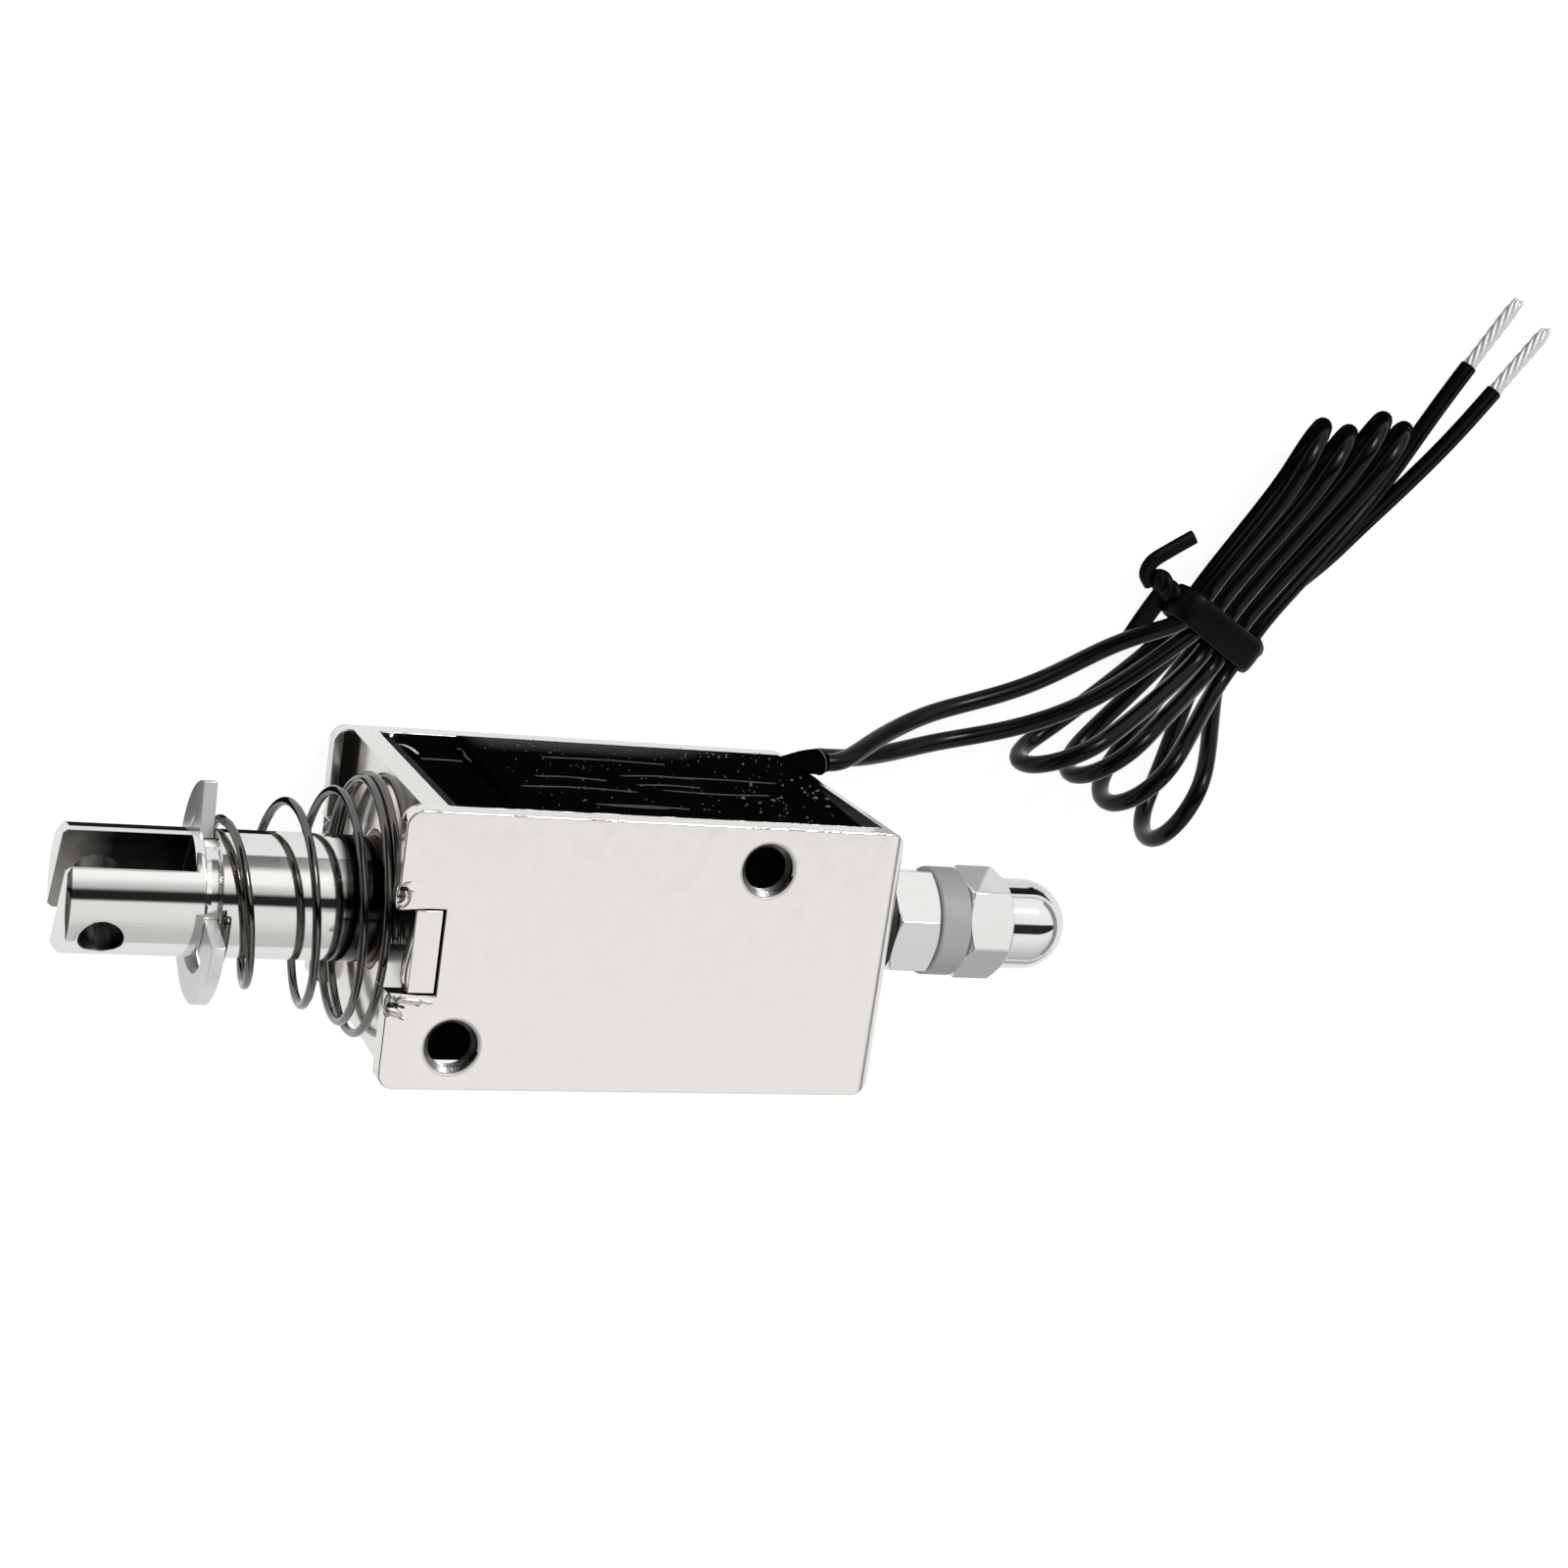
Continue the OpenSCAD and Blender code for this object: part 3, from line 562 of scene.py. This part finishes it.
band_points = band_path()
tie_verts, tie_faces = swept(
    band_points, [oval(BAND_W / 2, BAND_T / 2, 20, 2.2)] * len(band_points),
    [unit(p - TIE_AT - UP * BAND_MIDDLE) for p in band_points], closed=True)


def add_tube(points, profiles, lean=(0.1, 0.2, 1)):
    """Adds a swept length to the tie."""
    v, f = swept(points, profiles, np.array(lean, float))
    tie_faces.extend(tuple(k + len(tie_verts) for k in face) for face in f)
    tie_verts.extend(v)


def smooth_path(points, steps=8):
    """Points of a smooth line through the given ones."""
    p = [np.asarray(q, float) for q in points]
    p = [2 * p[0] - p[1]] + p + [2 * p[-1] - p[-2]]
    out = []
    for i in range(1, len(p) - 2):
        for k in range(steps):
            t = k / steps
            out.append(0.5 * (2 * p[i] + (p[i + 1] - p[i - 1]) * t
                              + (2 * p[i - 1] - 5 * p[i] + 4 * p[i + 1] - p[i + 2]) * t * t
                              + (3 * p[i] - p[i - 1] - 3 * p[i + 1] + p[i + 2]) * t ** 3))
    return out + [p[-2]]


# Two twisted lengths make the knob; then come a lobe, the band's flat strip and its bent end
for phase in (0, math.pi):
    line = []
    for i in range(KNOB_STEPS + 1):
        t = i / KNOB_STEPS
        base = (TIE_AT + ACROSS * (BAND_LEFT + KNOB_START - KNOB_L * t)
                + ALONG * (0.1 + 0.4 * t) + UP * KNOB_Z)
        a = phase + 2.2 * math.pi * t
        line.append(base + KNOB_R * math.cos(a) * UP + KNOB_R * math.sin(a) * ALONG)
    add_tube(line, [oval(0.62, 0.5, 14, 2.4)] * len(line), ALONG)
lobe = smooth_path([TIE_AT + ACROSS * 3.2 + ALONG * 1.3 + UP * 3.9,
                    TIE_AT + ACROSS * 4.0 + ALONG * 1.1 + UP * 3.0,
                    TIE_AT + ACROSS * 4.35 + ALONG * 0.2 + UP * 2.0,
                    TIE_AT + ACROSS * 4.1 - ALONG * 1.0 + UP * 1.3])
add_tube(lobe, [oval(0.55 + 0.5 * math.sin(math.pi * i / (len(lobe) - 1)), 0.6, 14)
                for i in range(len(lobe))], ALONG)
strip = smooth_path([(51.1, 27.1, 1.6), (50.5, 25.6, 1.1), (49.8, 23.9, 0.7), (49.1, 22.3, 0.5)])
add_tube(strip, [oval(0.95, 0.35, 14, 2.6)] * len(strip))
end_line = smooth_path([(49.2, 27.4, 2.1), (48.5, 28.3, 2.3), (48.9, 29.4, 2.4),
                        (50.4, 30.5, 2.4), (52.4, 31.8, 2.4)])
add_tube(end_line, [oval(0.62, 0.42, 14, 3)] * len(end_line))
tie = piece("tie", tie_verts, tie_faces, TIE)
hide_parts("twist_tie")

# ---------------------------------------------------------------- spring
AXIS_Z = 13.0
CLIP_BACK = -30.25
PLATE_FRONT = -18.1
COIL_D = 0.65
OUTER_SMALL, OUTER_BIG = 11.9, 20
R_SMALL, R_BIG = (OUTER_SMALL - COIL_D) / 2, (OUTER_BIG - COIL_D) / 2
SMALL_CLOSED, TURNS, BIG_CLOSED = 0.75, 3.25, 1.0
END_GAP = 0.05
COIL_START = CLIP_BACK + END_GAP + COIL_D / 2
COIL_END = PLATE_FRONT - END_GAP - COIL_D / 2
COIL_LAY = COIL_D + 0.03
SMALL_RISE = 0.2
# How the radius and the pitch grow along the open turns
RADIUS_POWER, PITCH_POWER = 0.75, 1.7
STEPS_PER_TURN = 64
# The spring lies a little off the plunger's axis
SAG_SMALL, SAG_BIG = 0.15, 0.42


def coil_at(t):
    """Centre of the spring's wire after t turns from the clip."""
    share = min(max((t - SMALL_CLOSED) / TURNS, 0), 1)
    r = R_SMALL + (R_BIG - R_SMALL) * share ** RADIUS_POWER
    if t < SMALL_CLOSED:
        x = COIL_START + SMALL_RISE * t / SMALL_CLOSED
    else:
        opened = COIL_START + SMALL_RISE
        x = opened + (COIL_END - COIL_LAY - opened) * (1 - (1 - share) ** PITCH_POWER)
        x += COIL_LAY * max(t - SMALL_CLOSED - TURNS, 0)
    a = 2 * math.pi * (t - SMALL_CLOSED)
    sag = SAG_SMALL + (SAG_BIG - SAG_SMALL) * share
    return np.array((x, r * math.cos(a) - sag, AXIS_Z + r * math.sin(a)))


all_turns = SMALL_CLOSED + TURNS + BIG_CLOSED
coil_steps = int(all_turns * STEPS_PER_TURN)
coil_turns = [all_turns * i / coil_steps for i in range(coil_steps + 1)]
coil_profiles = [circle(COIL_D / 2 * (0.93 if i in (0, coil_steps) else 1), 16)
                 for i in range(coil_steps + 1)]
coil_verts, coil_faces = swept([coil_at(t) for t in coil_turns], coil_profiles,
                               np.array((1.0, 0, 0)))
spring = piece("spring", coil_verts, coil_faces, SPRING)
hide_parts("return_spring")
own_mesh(spring)

# ---------------------------------------------------------------- metal pieces with round edges
TIP_X = -41.3
SLOT_HALF, SLOT_DEEP = 1.7, 9.2
CROSS_HOLE_DEEP, CROSS_HOLE_R = 2.9, 1.6
SLOT_TURN = math.radians(56)
SLOT_UP = np.array((0, math.sin(SLOT_TURN), math.cos(SLOT_TURN)))
SLOT_SIDE = np.array((0, math.cos(SLOT_TURN), -math.sin(SLOT_TURN)))
AXIS = np.array((0, 0, AXIS_Z))
NOTCH_HALF, NOTCH_END_X = 3.22, -16.0
TAB_HALF = 3.1
PLATE_TOP = 26.0
PLATE_INNER = 24.2
HOLES = [(-14.3, -7.1), (8.2, 7.1)]
HOLE_R = 2.0
# A face counts as lying on a shape within NEAR, and as facing an axis from FACING on
NEAR = 0.05
FACING = 0.9


def in_slot(p, n):
    """Walls and end of the clevis slot, and the walls of the cross hole."""
    q = p - AXIS
    off = abs(q @ SLOT_SIDE)
    wall = abs(off - SLOT_HALF) < NEAR and abs(n @ SLOT_SIDE) > FACING and p[0] < -32
    end = abs(p[0] - TIP_X - SLOT_DEEP) < NEAR and n[0] < -FACING and off < SLOT_HALF
    bore = abs(math.hypot(p[0] - TIP_X - CROSS_HOLE_DEEP, q @ SLOT_UP) - CROSS_HOLE_R) < 0.06
    return wall or end or (bore and abs(n @ SLOT_SIDE) < 0.1)


def shaded_bore(p, n):
    """Walls of the tapped holes and of the two notches for the tabs, which take painted shade."""
    bore = p[2] > 24 and abs(n[2]) < 0.1 and any(
        abs(math.hypot(p[0] - x, p[1] - y) - HOLE_R) < NEAR for x, y in HOLES)
    side = abs(n[1]) > FACING and abs(abs(p[1]) - NOTCH_HALF) < 0.03
    end = n[0] < -FACING and p[0] > NOTCH_END_X - 0.1 and abs(p[1]) < NOTCH_HALF
    return bore or (p[0] < NOTCH_END_X + 0.1 and (side or end))


def near_hole(p):
    """Edges of the tapped holes."""
    return p[2] > 23.5 and any(math.hypot(p[0] - x, p[1] - y) < 2.5 for x, y in HOLES)


def hole_rim(p, n):
    """Countersinks of the tapped holes."""
    return p[2] > 25 and 0.4 < n[2] < FACING and near_hole(p)


def shaded_tab_side(p, n):
    """Sides of the front plate's two tabs, which take painted shade."""
    return (p[2] > 24 or p[2] < 2) and abs(n[1]) > FACING and abs(abs(p[1]) - TAB_HALF) < 0.03


# Painted shade on the hole and notch walls and on the tabs' sides
crisp("yoke_frame", 0.14, sharp=near_hole,
      looks=[(shaded_bore, SHADE_STEEL), (hole_rim, RIM_STEEL)])
crisp("front_plate", 0.1, looks=[(shaded_tab_side, SHADE_STEEL)])
crisp("e_clip", 0.08)
crisp("plunger", 0.12, looks=[(in_slot, SLOT_STEEL)])
crisp("rod_nut", 0.08, angle=25)
crisp("acorn_nut", 0.08, angle=25)
crisp("core_nut", 0.08, angle=25)
crisp("cushion_washer", 0.15)

# Thread turns in the two tapped holes, in steel darkened as painted shade
THREAD_DEPTH = 0.34
THREAD_PITCH = 0.7
THREAD_STEPS = 48
FADE_STEPS, FADE_LEAST = 10, 0.05
RIDGE_HALF, CREST_HALF, ROOT_OUT = 0.30, 0.05, 0.03


def thread(name, x, y):
    """A tapped hole's thread as one ridge, which fades at both ends."""
    points, profiles, leans = [], [], []
    low, high = PLATE_INNER + 0.12, PLATE_TOP - 0.3
    turns = (high - low) / THREAD_PITCH
    steps = int(THREAD_STEPS * turns)
    for i in range(steps + 1):
        t = i / steps
        a = 2 * math.pi * turns * t
        out = np.array((math.cos(a), math.sin(a), 0))
        fade = min(1, t * steps / FADE_STEPS, (1 - t) * steps / FADE_STEPS)
        points.append(np.array((x, y, low + (high - low) * t)) + out * HOLE_R)
        depth = THREAD_DEPTH * max(fade, FADE_LEAST)
        profiles.append([(-RIDGE_HALF, ROOT_OUT), (RIDGE_HALF, ROOT_OUT),
                         (CREST_HALF, -depth), (-CREST_HALF, -depth)])
        leans.append(out)
    verts, faces = swept(points, profiles, leans)
    return piece(name, verts, faces, SHADED_THREAD_STEEL, smooth=False)


thread("thread_front", *HOLES[0])
thread("thread_rear", *HOLES[1])

# ---------------------------------------------------------------- small marks
chance = random.Random(5)
BURR_FROM, BURR_TO = (-18.6, 10.36), (17.4, 10.36)
# Change of the burr's thickness from step to step, and how far it wanders off its line
BURR_CHANGE, BURR_WANDER = 0.35, 0.012


def burr(name, z, along_steps, r_low, r_high):
    """Thin uneven line of metal along an upper edge of a side plate, at the height z."""
    start, end = np.array((*BURR_FROM, z)), np.array((*BURR_TO, z))
    points, profiles = [], []
    r = (r_low + r_high) / 2
    for i in range(along_steps + 1):
        t = i / along_steps
        r = min(r_high, max(r_low, r + chance.uniform(-BURR_CHANGE, BURR_CHANGE)
                              * (r_high - r_low)))
        points.append(start + (end - start) * t
                      + np.array((0, chance.uniform(-1, 1), chance.uniform(-1, 1))) * BURR_WANDER)
        profiles.append(oval(r, r * 0.6, 6))
    verts, faces = swept(points, profiles, UP)
    return piece(name, verts, faces, BURR)


burr("burr_top", 25.93, 300, 0.02, 0.10)
burr("burr_low", 24.24, 240, 0.01, 0.06)
burr("burr_far", 1.78, 240, 0.01, 0.06)


def lump(name, spots, look):
    """Uneven blobs of metal. Each spot is (centre, radii, turn in degrees, roughness)."""
    verts, faces = [], []
    rings, sides = 9, 16
    for centre, radii, turned, rough in spots:
        base = len(verts)
        c, s = math.cos(math.radians(turned)), math.sin(math.radians(turned))
        for i in range(rings + 1):
            v = math.pi * i / rings
            for k in range(sides):
                u = 2 * math.pi * k / sides
                grow = 1 + chance.uniform(-rough, rough)
                x = radii[0] * math.sin(v) * math.cos(u) * grow
                y = radii[1] * math.sin(v) * math.sin(u) * grow
                z = radii[2] * math.cos(v)
                verts.append(np.array(centre, float)
                             + np.array((x * c - y * s, x * s + y * c, z)))
        for i in range(rings):
            for k in range(sides):
                n = (k + 1) % sides
                a, b = base + i * sides + k, base + i * sides + n
                d, e = base + (i + 1) * sides + k, base + (i + 1) * sides + n
                faces.append((a, d, e, b))
    return piece(name, verts, faces, look)


lump("stake_lips", [
    ((-19.0, 5.05, 25.88), (0.52, 0.24, 0.16), 25, 0.12),
    ((-18.6, 4.45, 25.88), (0.34, 0.22, 0.15), -50, 0.15),
    ((-18.9, -4.55, 25.90), (0.80, 0.36, 0.30), -22, 0.15),
    ((-17.7, -3.72, 25.92), (0.95, 0.26, 0.20), -6, 0.15),
    ((-16.6, -3.74, 25.90), (0.75, 0.20, 0.16), -12, 0.15),
    ((-18.5, -3.55, 25.92), (0.45, 0.28, 0.20), 40, 0.15),
    ((-19.15, -3.6, 25.86), (0.24, 0.40, 0.16), 10, 0.15),
], BURR)
# Painted shade: dark blobs in the stake dents
lump("stake_pit_shade", [
    ((-19.05, 4.65, 25.86), (0.42, 0.22, 0.16), 20, 0.1),
    ((-18.35, -4.12, 25.86), (0.62, 0.24, 0.16), -16, 0.1),
    ((-17.2, -4.02, 25.86), (0.55, 0.10, 0.15), -10, 0.1),
    ((-19.15, -4.05, 25.88), (0.30, 0.26, 0.22), 0, 0.1),
    ((-18.35, -5.0, 25.84), (0.75, 0.12, 0.18), -24, 0.1),
], SHADE_STEEL)

# The tab's own rounded front corner, pushed out towards its lower end
bulge = smooth_path([(-17.72, 2.9, 25.25), (-17.75, 1.6, 25.25), (-17.9, 0.2, 25.25),
                     (-18.1, -1.3, 25.25), (-18.08, -2.3, 25.25), (-17.9, -2.95, 25.25)])
verts, faces = swept(bulge, [oval(0.36, 0.7, 20, 3)] * len(bulge), UP)
piece("tab_bulge", verts, faces, NICKEL)

# Painted shade: a thin dark sheet in the corner between the front plate and the far side plate,
# above and below the tab
SHADE_APART, SHADE_T = 13.45, 0.02
corner = [(-18.1, -10.2, 2.0), (-18.75, -10.2, 2.0), (-18.75, -3.25, 2.0), (-18.1, -3.25, 2.0)]
verts, faces = [], []
for shift in (0, SHADE_APART):
    base = len(verts)
    verts += [np.array((x, y + shift, z + lift)) for lift in (0, SHADE_T) for x, y, z in corner]
    faces += [tuple(base + k for k in face) for face in (
        (3, 2, 1, 0), (4, 5, 6, 7), (0, 1, 5, 4), (1, 2, 6, 5), (2, 3, 7, 6), (3, 0, 4, 7))]
piece("painted_shade_far", verts, faces, SHADE_STEEL, smooth=False)

# Tape: folds, creases and dust on the coil's open side, and painted highlight lines on the fold,
# the tape's end and the mound's lip
WRAP_Y = 10.0
RAY_FROM_Y = 20
CREASES = 9
CREASE_END_X = 15.8
tape_data = nodes["coil_tape"].data
tape_tree = BVHTree.FromPolygons([v.co for v in tape_data.vertices],
                                 [f.vertices for f in tape_data.polygons])


def tape_y(x, z):
    """Height of the tape's open side above the point (x, z), in mm."""
    hit = tape_tree.ray_cast(Vector((x, RAY_FROM_Y, z)) * MM, Vector((0, -1, 0)))[0]
    return hit.y / MM if hit else WRAP_Y


def ribbon(name, points, width, thick, look):
    """Narrow raised line on the coil's open side."""
    line = smooth_path(points, 6)
    verts, faces = swept(line, [oval(width / 2, thick / 2, 12, 4)] * len(line),
                         np.array((0, 1.0, 0)))
    piece(name, verts, faces, look)


for n in range(CREASES):
    z = chance.uniform(4, 22)
    x0 = chance.uniform(-9.5, 4)
    x1 = min(CREASE_END_X, x0 + chance.uniform(4, 12))
    middle, bend, end = (x0 + x1) / 2, chance.uniform(-0.4, 0.4), chance.uniform(-0.3, 0.3)
    ribbon(f"tape_crease_{n}", [(x0, tape_y(x0, z), z),
                                (middle, tape_y(middle, z + bend) + 0.02, z + bend),
                                (x1, tape_y(x1, z + end), z + end)],
           0.25, 0.1, TAPE_CREASE)
ribbon("tape_fold", [(-10.35, 9.95, 4.4), (-10.2, 10.1, 5.6), (-10.45, 10.05, 7.2),
                     (-10.3, 9.95, 8.6)], 0.2, 0.12, TAPE_HIGHLIGHT)
ribbon("tape_end", [(-14.2, 9.85, 8.1), (-13.0, 9.9, 8.25), (-11.0, 9.9, 8.4)],
       0.12, 0.1, TAPE_HIGHLIGHT)
ribbon("winding_end", [(-14.85, 9.6, 2.9), (-14.5, 9.8, 3.9), (-14.2, 9.85, 5.2),
                       (-14.05, 9.8, 6.4)], 0.26, 0.2, BURR)


SPECK_TALL = 1.6
SPECK_SIDES = 6


def specks(name, count, x_range, z_range, sizes):
    """Grains of dust on the tape, each a low cone, and one in four of them long."""
    verts, faces = [], []
    for _ in range(count):
        x, z = chance.uniform(*x_range), chance.uniform(*z_range)
        r = chance.uniform(*sizes)
        long = chance.choice((1, 1, 1, 2.5))
        a = chance.uniform(0, math.pi)
        base, y = len(verts), tape_y(x, z)
        for k in range(SPECK_SIDES):
            u = 2 * math.pi * k / SPECK_SIDES
            p, q = r * long * math.cos(u), r * math.sin(u)
            verts.append(np.array((x + p * math.cos(a) - q * math.sin(a), y,
                                   z + p * math.sin(a) + q * math.cos(a))))
        verts.append(np.array((x, y + r * SPECK_TALL, z)))
        faces += [(base + k, base + (k + 1) % SPECK_SIDES, base + SPECK_SIDES)
                  for k in range(SPECK_SIDES)]
    piece(name, verts, faces, DUST)


specks("dust_fine", 180, (-9, 16), (3.5, 23), (0.03, 0.07))
specks("dust_right", 42, (7, 16.5), (4, 21), (0.07, 0.13))

# Mound of tape that the leads come out of
LEADS_Z = 7.1
EXIT_X = 19.3
MOUND_X, MOUND_Y = 13.6, 10.3
MOUND_STEPS = 14
LIP_SHARE = 0.07
RING_STEPS = 40
mound, profiles = [], []
for i in range(MOUND_STEPS + 1):
    t = i / MOUND_STEPS
    rise = t * t * (3 - 2 * t)
    lip = max(0, t - 1 + LIP_SHARE) / LIP_SHARE
    half = 0.2 + 0.75 * rise - 0.22 * lip
    mound.append((MOUND_X + (EXIT_X - MOUND_X) * t, MOUND_Y + half * 1.02 + 0.22 * lip, LEADS_Z))
    profiles.append(oval(half, 1.55 + 0.3 * rise - 0.2 * lip, 28, 2.3))
verts, faces = swept(mound, profiles, UP)
exit_shown = piece("exit_shown", verts, faces, TAPE)
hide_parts("exit_sleeve")
# Painted highlight: a thin grey ring round the mound's lip
ring = [(EXIT_X - 0.35, 11.25 + 0.98 * math.cos(a), LEADS_Z + 1.78 * math.sin(a))
        for a in (2 * math.pi * k / RING_STEPS for k in range(RING_STEPS))]
verts, faces = swept(ring, [circle(0.06, 8)] * RING_STEPS, np.array((1.0, 0, 0)), closed=True)
piece("exit_ring", verts, faces, TAPE_HIGHLIGHT)


# ---------------------------------------------------------------- studio
def stage_plane(name, centre, size_x, size_y, normal, look, only_glossy=False):
    """Flat rectangle of the studio. only_glossy leaves it to reflections alone."""
    made = bpy.data.objects.new(name, bpy.data.meshes.new(name))
    a, b = size_x / 2 * MM, size_y / 2 * MM
    made.data.from_pydata([(-a, -b, 0), (a, -b, 0), (a, b, 0), (-a, b, 0)], [], [(0, 1, 2, 3)])
    made.data.materials.append(look)
    scene.collection.objects.link(made)
    turn = Vector(normal).to_track_quat("Z", "Y").to_matrix().to_4x4()
    made.matrix_world = Matrix.Translation(Vector(centre) * MM) @ turn
    if only_glossy:
        made.visible_camera = False
        made.visible_diffuse = False
        made.visible_shadow = False
        made.visible_transmission = False
    return made


def glow(name, level):
    """Even light of its own and nothing else."""
    made = bpy.data.materials.new(name)
    made.use_nodes = True
    tree = made.node_tree
    tree.nodes.clear()
    out = tree.nodes.new("ShaderNodeOutputMaterial")
    light = tree.nodes.new("ShaderNodeEmission")
    light.inputs["Color"].default_value = (1, 1, 1, 1)
    light.inputs["Strength"].default_value = level
    tree.links.new(light.outputs["Emission"], out.inputs["Surface"])
    return made


def any_of(tree, *names):
    """Largest of the named Light Path outputs."""
    path = tree.nodes.new("ShaderNodeLightPath")
    value = path.outputs[names[0]]
    for name in names[1:]:
        value = math_node(tree, "MAXIMUM", value, path.outputs[name])
    return value


# Floor: takes the shadow, and adds light for the camera and less of it for reflections
FLOOR_MATTE = 0.22
FLOOR_SEEN, FLOOR_REFLECTED = 0.9, 0.66
FLOOR_SIZE = 6000
UPWARD = (0, 0, 1)
floor_look = bpy.data.materials.new("floor")
floor_look.use_nodes = True
tree = floor_look.node_tree
tree.nodes.clear()
out = tree.nodes.new("ShaderNodeOutputMaterial")
add = tree.nodes.new("ShaderNodeAddShader")
matte = tree.nodes.new("ShaderNodeBsdfDiffuse")
matte.inputs["Color"].default_value = (FLOOR_MATTE, FLOOR_MATTE, FLOOR_MATTE, 1)
light = tree.nodes.new("ShaderNodeEmission")
reflected = math_node(tree, "MULTIPLY", any_of(tree, "Is Glossy Ray"), FLOOR_REFLECTED)
level = math_node(tree, "MULTIPLY_ADD", any_of(tree, "Is Camera Ray", "Is Transmission Ray"),
                  FLOOR_SEEN, reflected)
tree.links.new(level, light.inputs["Strength"])
tree.links.new(matte.outputs["BSDF"], add.inputs[0])
tree.links.new(light.outputs["Emission"], add.inputs[1])
tree.links.new(add.outputs["Shader"], out.inputs["Surface"])
stage_plane("floor", (0, 0, 0), FLOOR_SIZE, FLOOR_SIZE, UPWARD, floor_look)

# Black and grey cards, which only reflections show; the leads are left out of reflections
BLACK_CARD = glow("black_card", 0.01)
GREY_CARD = glow("grey_card", 0.28)
SOFT_CARD = glow("soft_card", 0.42)
for card, centre, size_x, size_y, normal, look in (
        ("card_under", (-31.75, 6.2, 0.2), 17.5, 9, UPWARD, BLACK_CARD),
        ("card_dome", (69, 70, 0.2), 50, 86, UPWARD, BLACK_CARD),
        ("card_nut", (34.5, 16.5, 0.2), 13, 15, UPWARD, SOFT_CARD),
        ("card_below", (75, -95, 0.2), 90, 110, UPWARD, SOFT_CARD),
        ("card_far", (420, 0, 60), 800, 120, (-1, 0, 0), GREY_CARD)):
    stage_plane(card, centre, size_x, size_y, normal, look, only_glossy=True)
for wire_shown in (wire_a, wire_b):
    wire_shown.visible_glossy = False

# World: white for the camera, soft bands round the x axis for reflections, plain grey for the
# rest. A band is (degrees from straight up, brightness), for the left and for the right end.
BANDS_LEFT = [(-180, 0.9), (-90, 0.56), (-60, 0.58), (-45, 0.70), (-25, 0.80), (-6, 0.80),
              (-2, 0.015), (13, 0.015), (19, 0.5), (26, 0.65), (36, 1.0), (57, 1.0), (62, 0.65),
              (68, 0.24), (84, 0.15), (92, 0.25), (150, 0.5), (180, 0.9)]
BANDS_RIGHT = [(-180, 0.5), (-90, 0.45), (-60, 0.62), (-46, 0.72), (-30, 0.85), (-12, 0.85),
               (-9, 0.02), (13, 0.02), (16, 0.88), (50, 0.95), (82, 0.9), (92, 0.3), (180, 0.5)]
WARM_GREEN, WARM_BLUE = 0.995, 0.985
LEFT_TO, RIGHT_FROM = 0.215, 0.245
DIM_FROM, DIM_TO, DIM_LEVEL = -0.35, -0.05, 0.12
PLAIN_LEVEL = 0.55
WHITE = (1, 1, 1, 1)
world = bpy.data.worlds.new("world")
scene.world = world
world.use_nodes = True
tree = world.node_tree
tree.nodes.clear()
out = tree.nodes.new("ShaderNodeOutputWorld")
where = tree.nodes.new("ShaderNodeTexCoord")
split = tree.nodes.new("ShaderNodeSeparateXYZ")
tree.links.new(where.outputs["Generated"], split.inputs["Vector"])
angle = math_node(tree, "ARCTAN2", split.outputs["Y"], split.outputs["Z"])
turned = map_range(tree, angle, -math.pi, math.pi)


def banded_color(bands):
    """Colour by the turn round the x axis."""
    ramp = tree.nodes.new("ShaderNodeValToRGB")
    stops = ramp.color_ramp.elements
    for i, (degrees, value) in enumerate(bands):
        place = (degrees + 180) / 360
        if i == 0:
            stop = stops[0]
        elif i == len(bands) - 1:
            stop = stops[len(stops) - 1]
        else:
            stop = stops.new(place)
        stop.position = place
        stop.color = (value, value * WARM_GREEN, value * WARM_BLUE, 1)
    tree.links.new(turned, ramp.inputs["Fac"])
    return ramp.outputs["Color"]


def background(color, strength):
    made = tree.nodes.new("ShaderNodeBackground")
    feed(tree, made.inputs["Color"], color)
    feed(tree, made.inputs["Strength"], strength)
    return made.outputs["Background"]


def pick(choice, usual, chosen):
    """The chosen shader where choice is 1, and the usual one elsewhere."""
    made = tree.nodes.new("ShaderNodeMixShader")
    tree.links.new(choice, made.inputs["Fac"])
    tree.links.new(usual, made.inputs[1])
    tree.links.new(chosen, made.inputs[2])
    return made.outputs["Shader"]


bands = mix_colors(tree, map_range(tree, split.outputs["X"], LEFT_TO, RIGHT_FROM),
                   banded_color(BANDS_LEFT), banded_color(BANDS_RIGHT))
banded = background(bands, map_range(tree, split.outputs["X"], DIM_FROM, DIM_TO, DIM_LEVEL))
lit = pick(any_of(tree, "Is Glossy Ray"), background(WHITE, PLAIN_LEVEL), banded)
seen = pick(any_of(tree, "Is Camera Ray", "Is Transmission Ray"), lit, background(WHITE, 1))
tree.links.new(seen, out.inputs["Surface"])


LAMPS_AIM = (0, 0, 0.01)


def lamp(name, place, size, power, glossy=True):
    """Round soft lamp, in metres and watts."""
    data = bpy.data.lights.new(name, "AREA")
    data.shape = "DISK"
    data.size = size
    data.energy = power
    made = bpy.data.objects.new(name, data)
    scene.collection.objects.link(made)
    made.location = place
    made.rotation_mode = "QUATERNION"
    made.rotation_quaternion = (Vector(LAMPS_AIM) - Vector(place)).to_track_quat("-Z", "Y")
    made.visible_camera = False
    made.visible_glossy = glossy


lamp("key", (0.19, 0.35, 0.33), 0.16, 0.75)
lamp("fill", (-0.25, -0.25, 0.45), 0.3, 0.35, glossy=False)
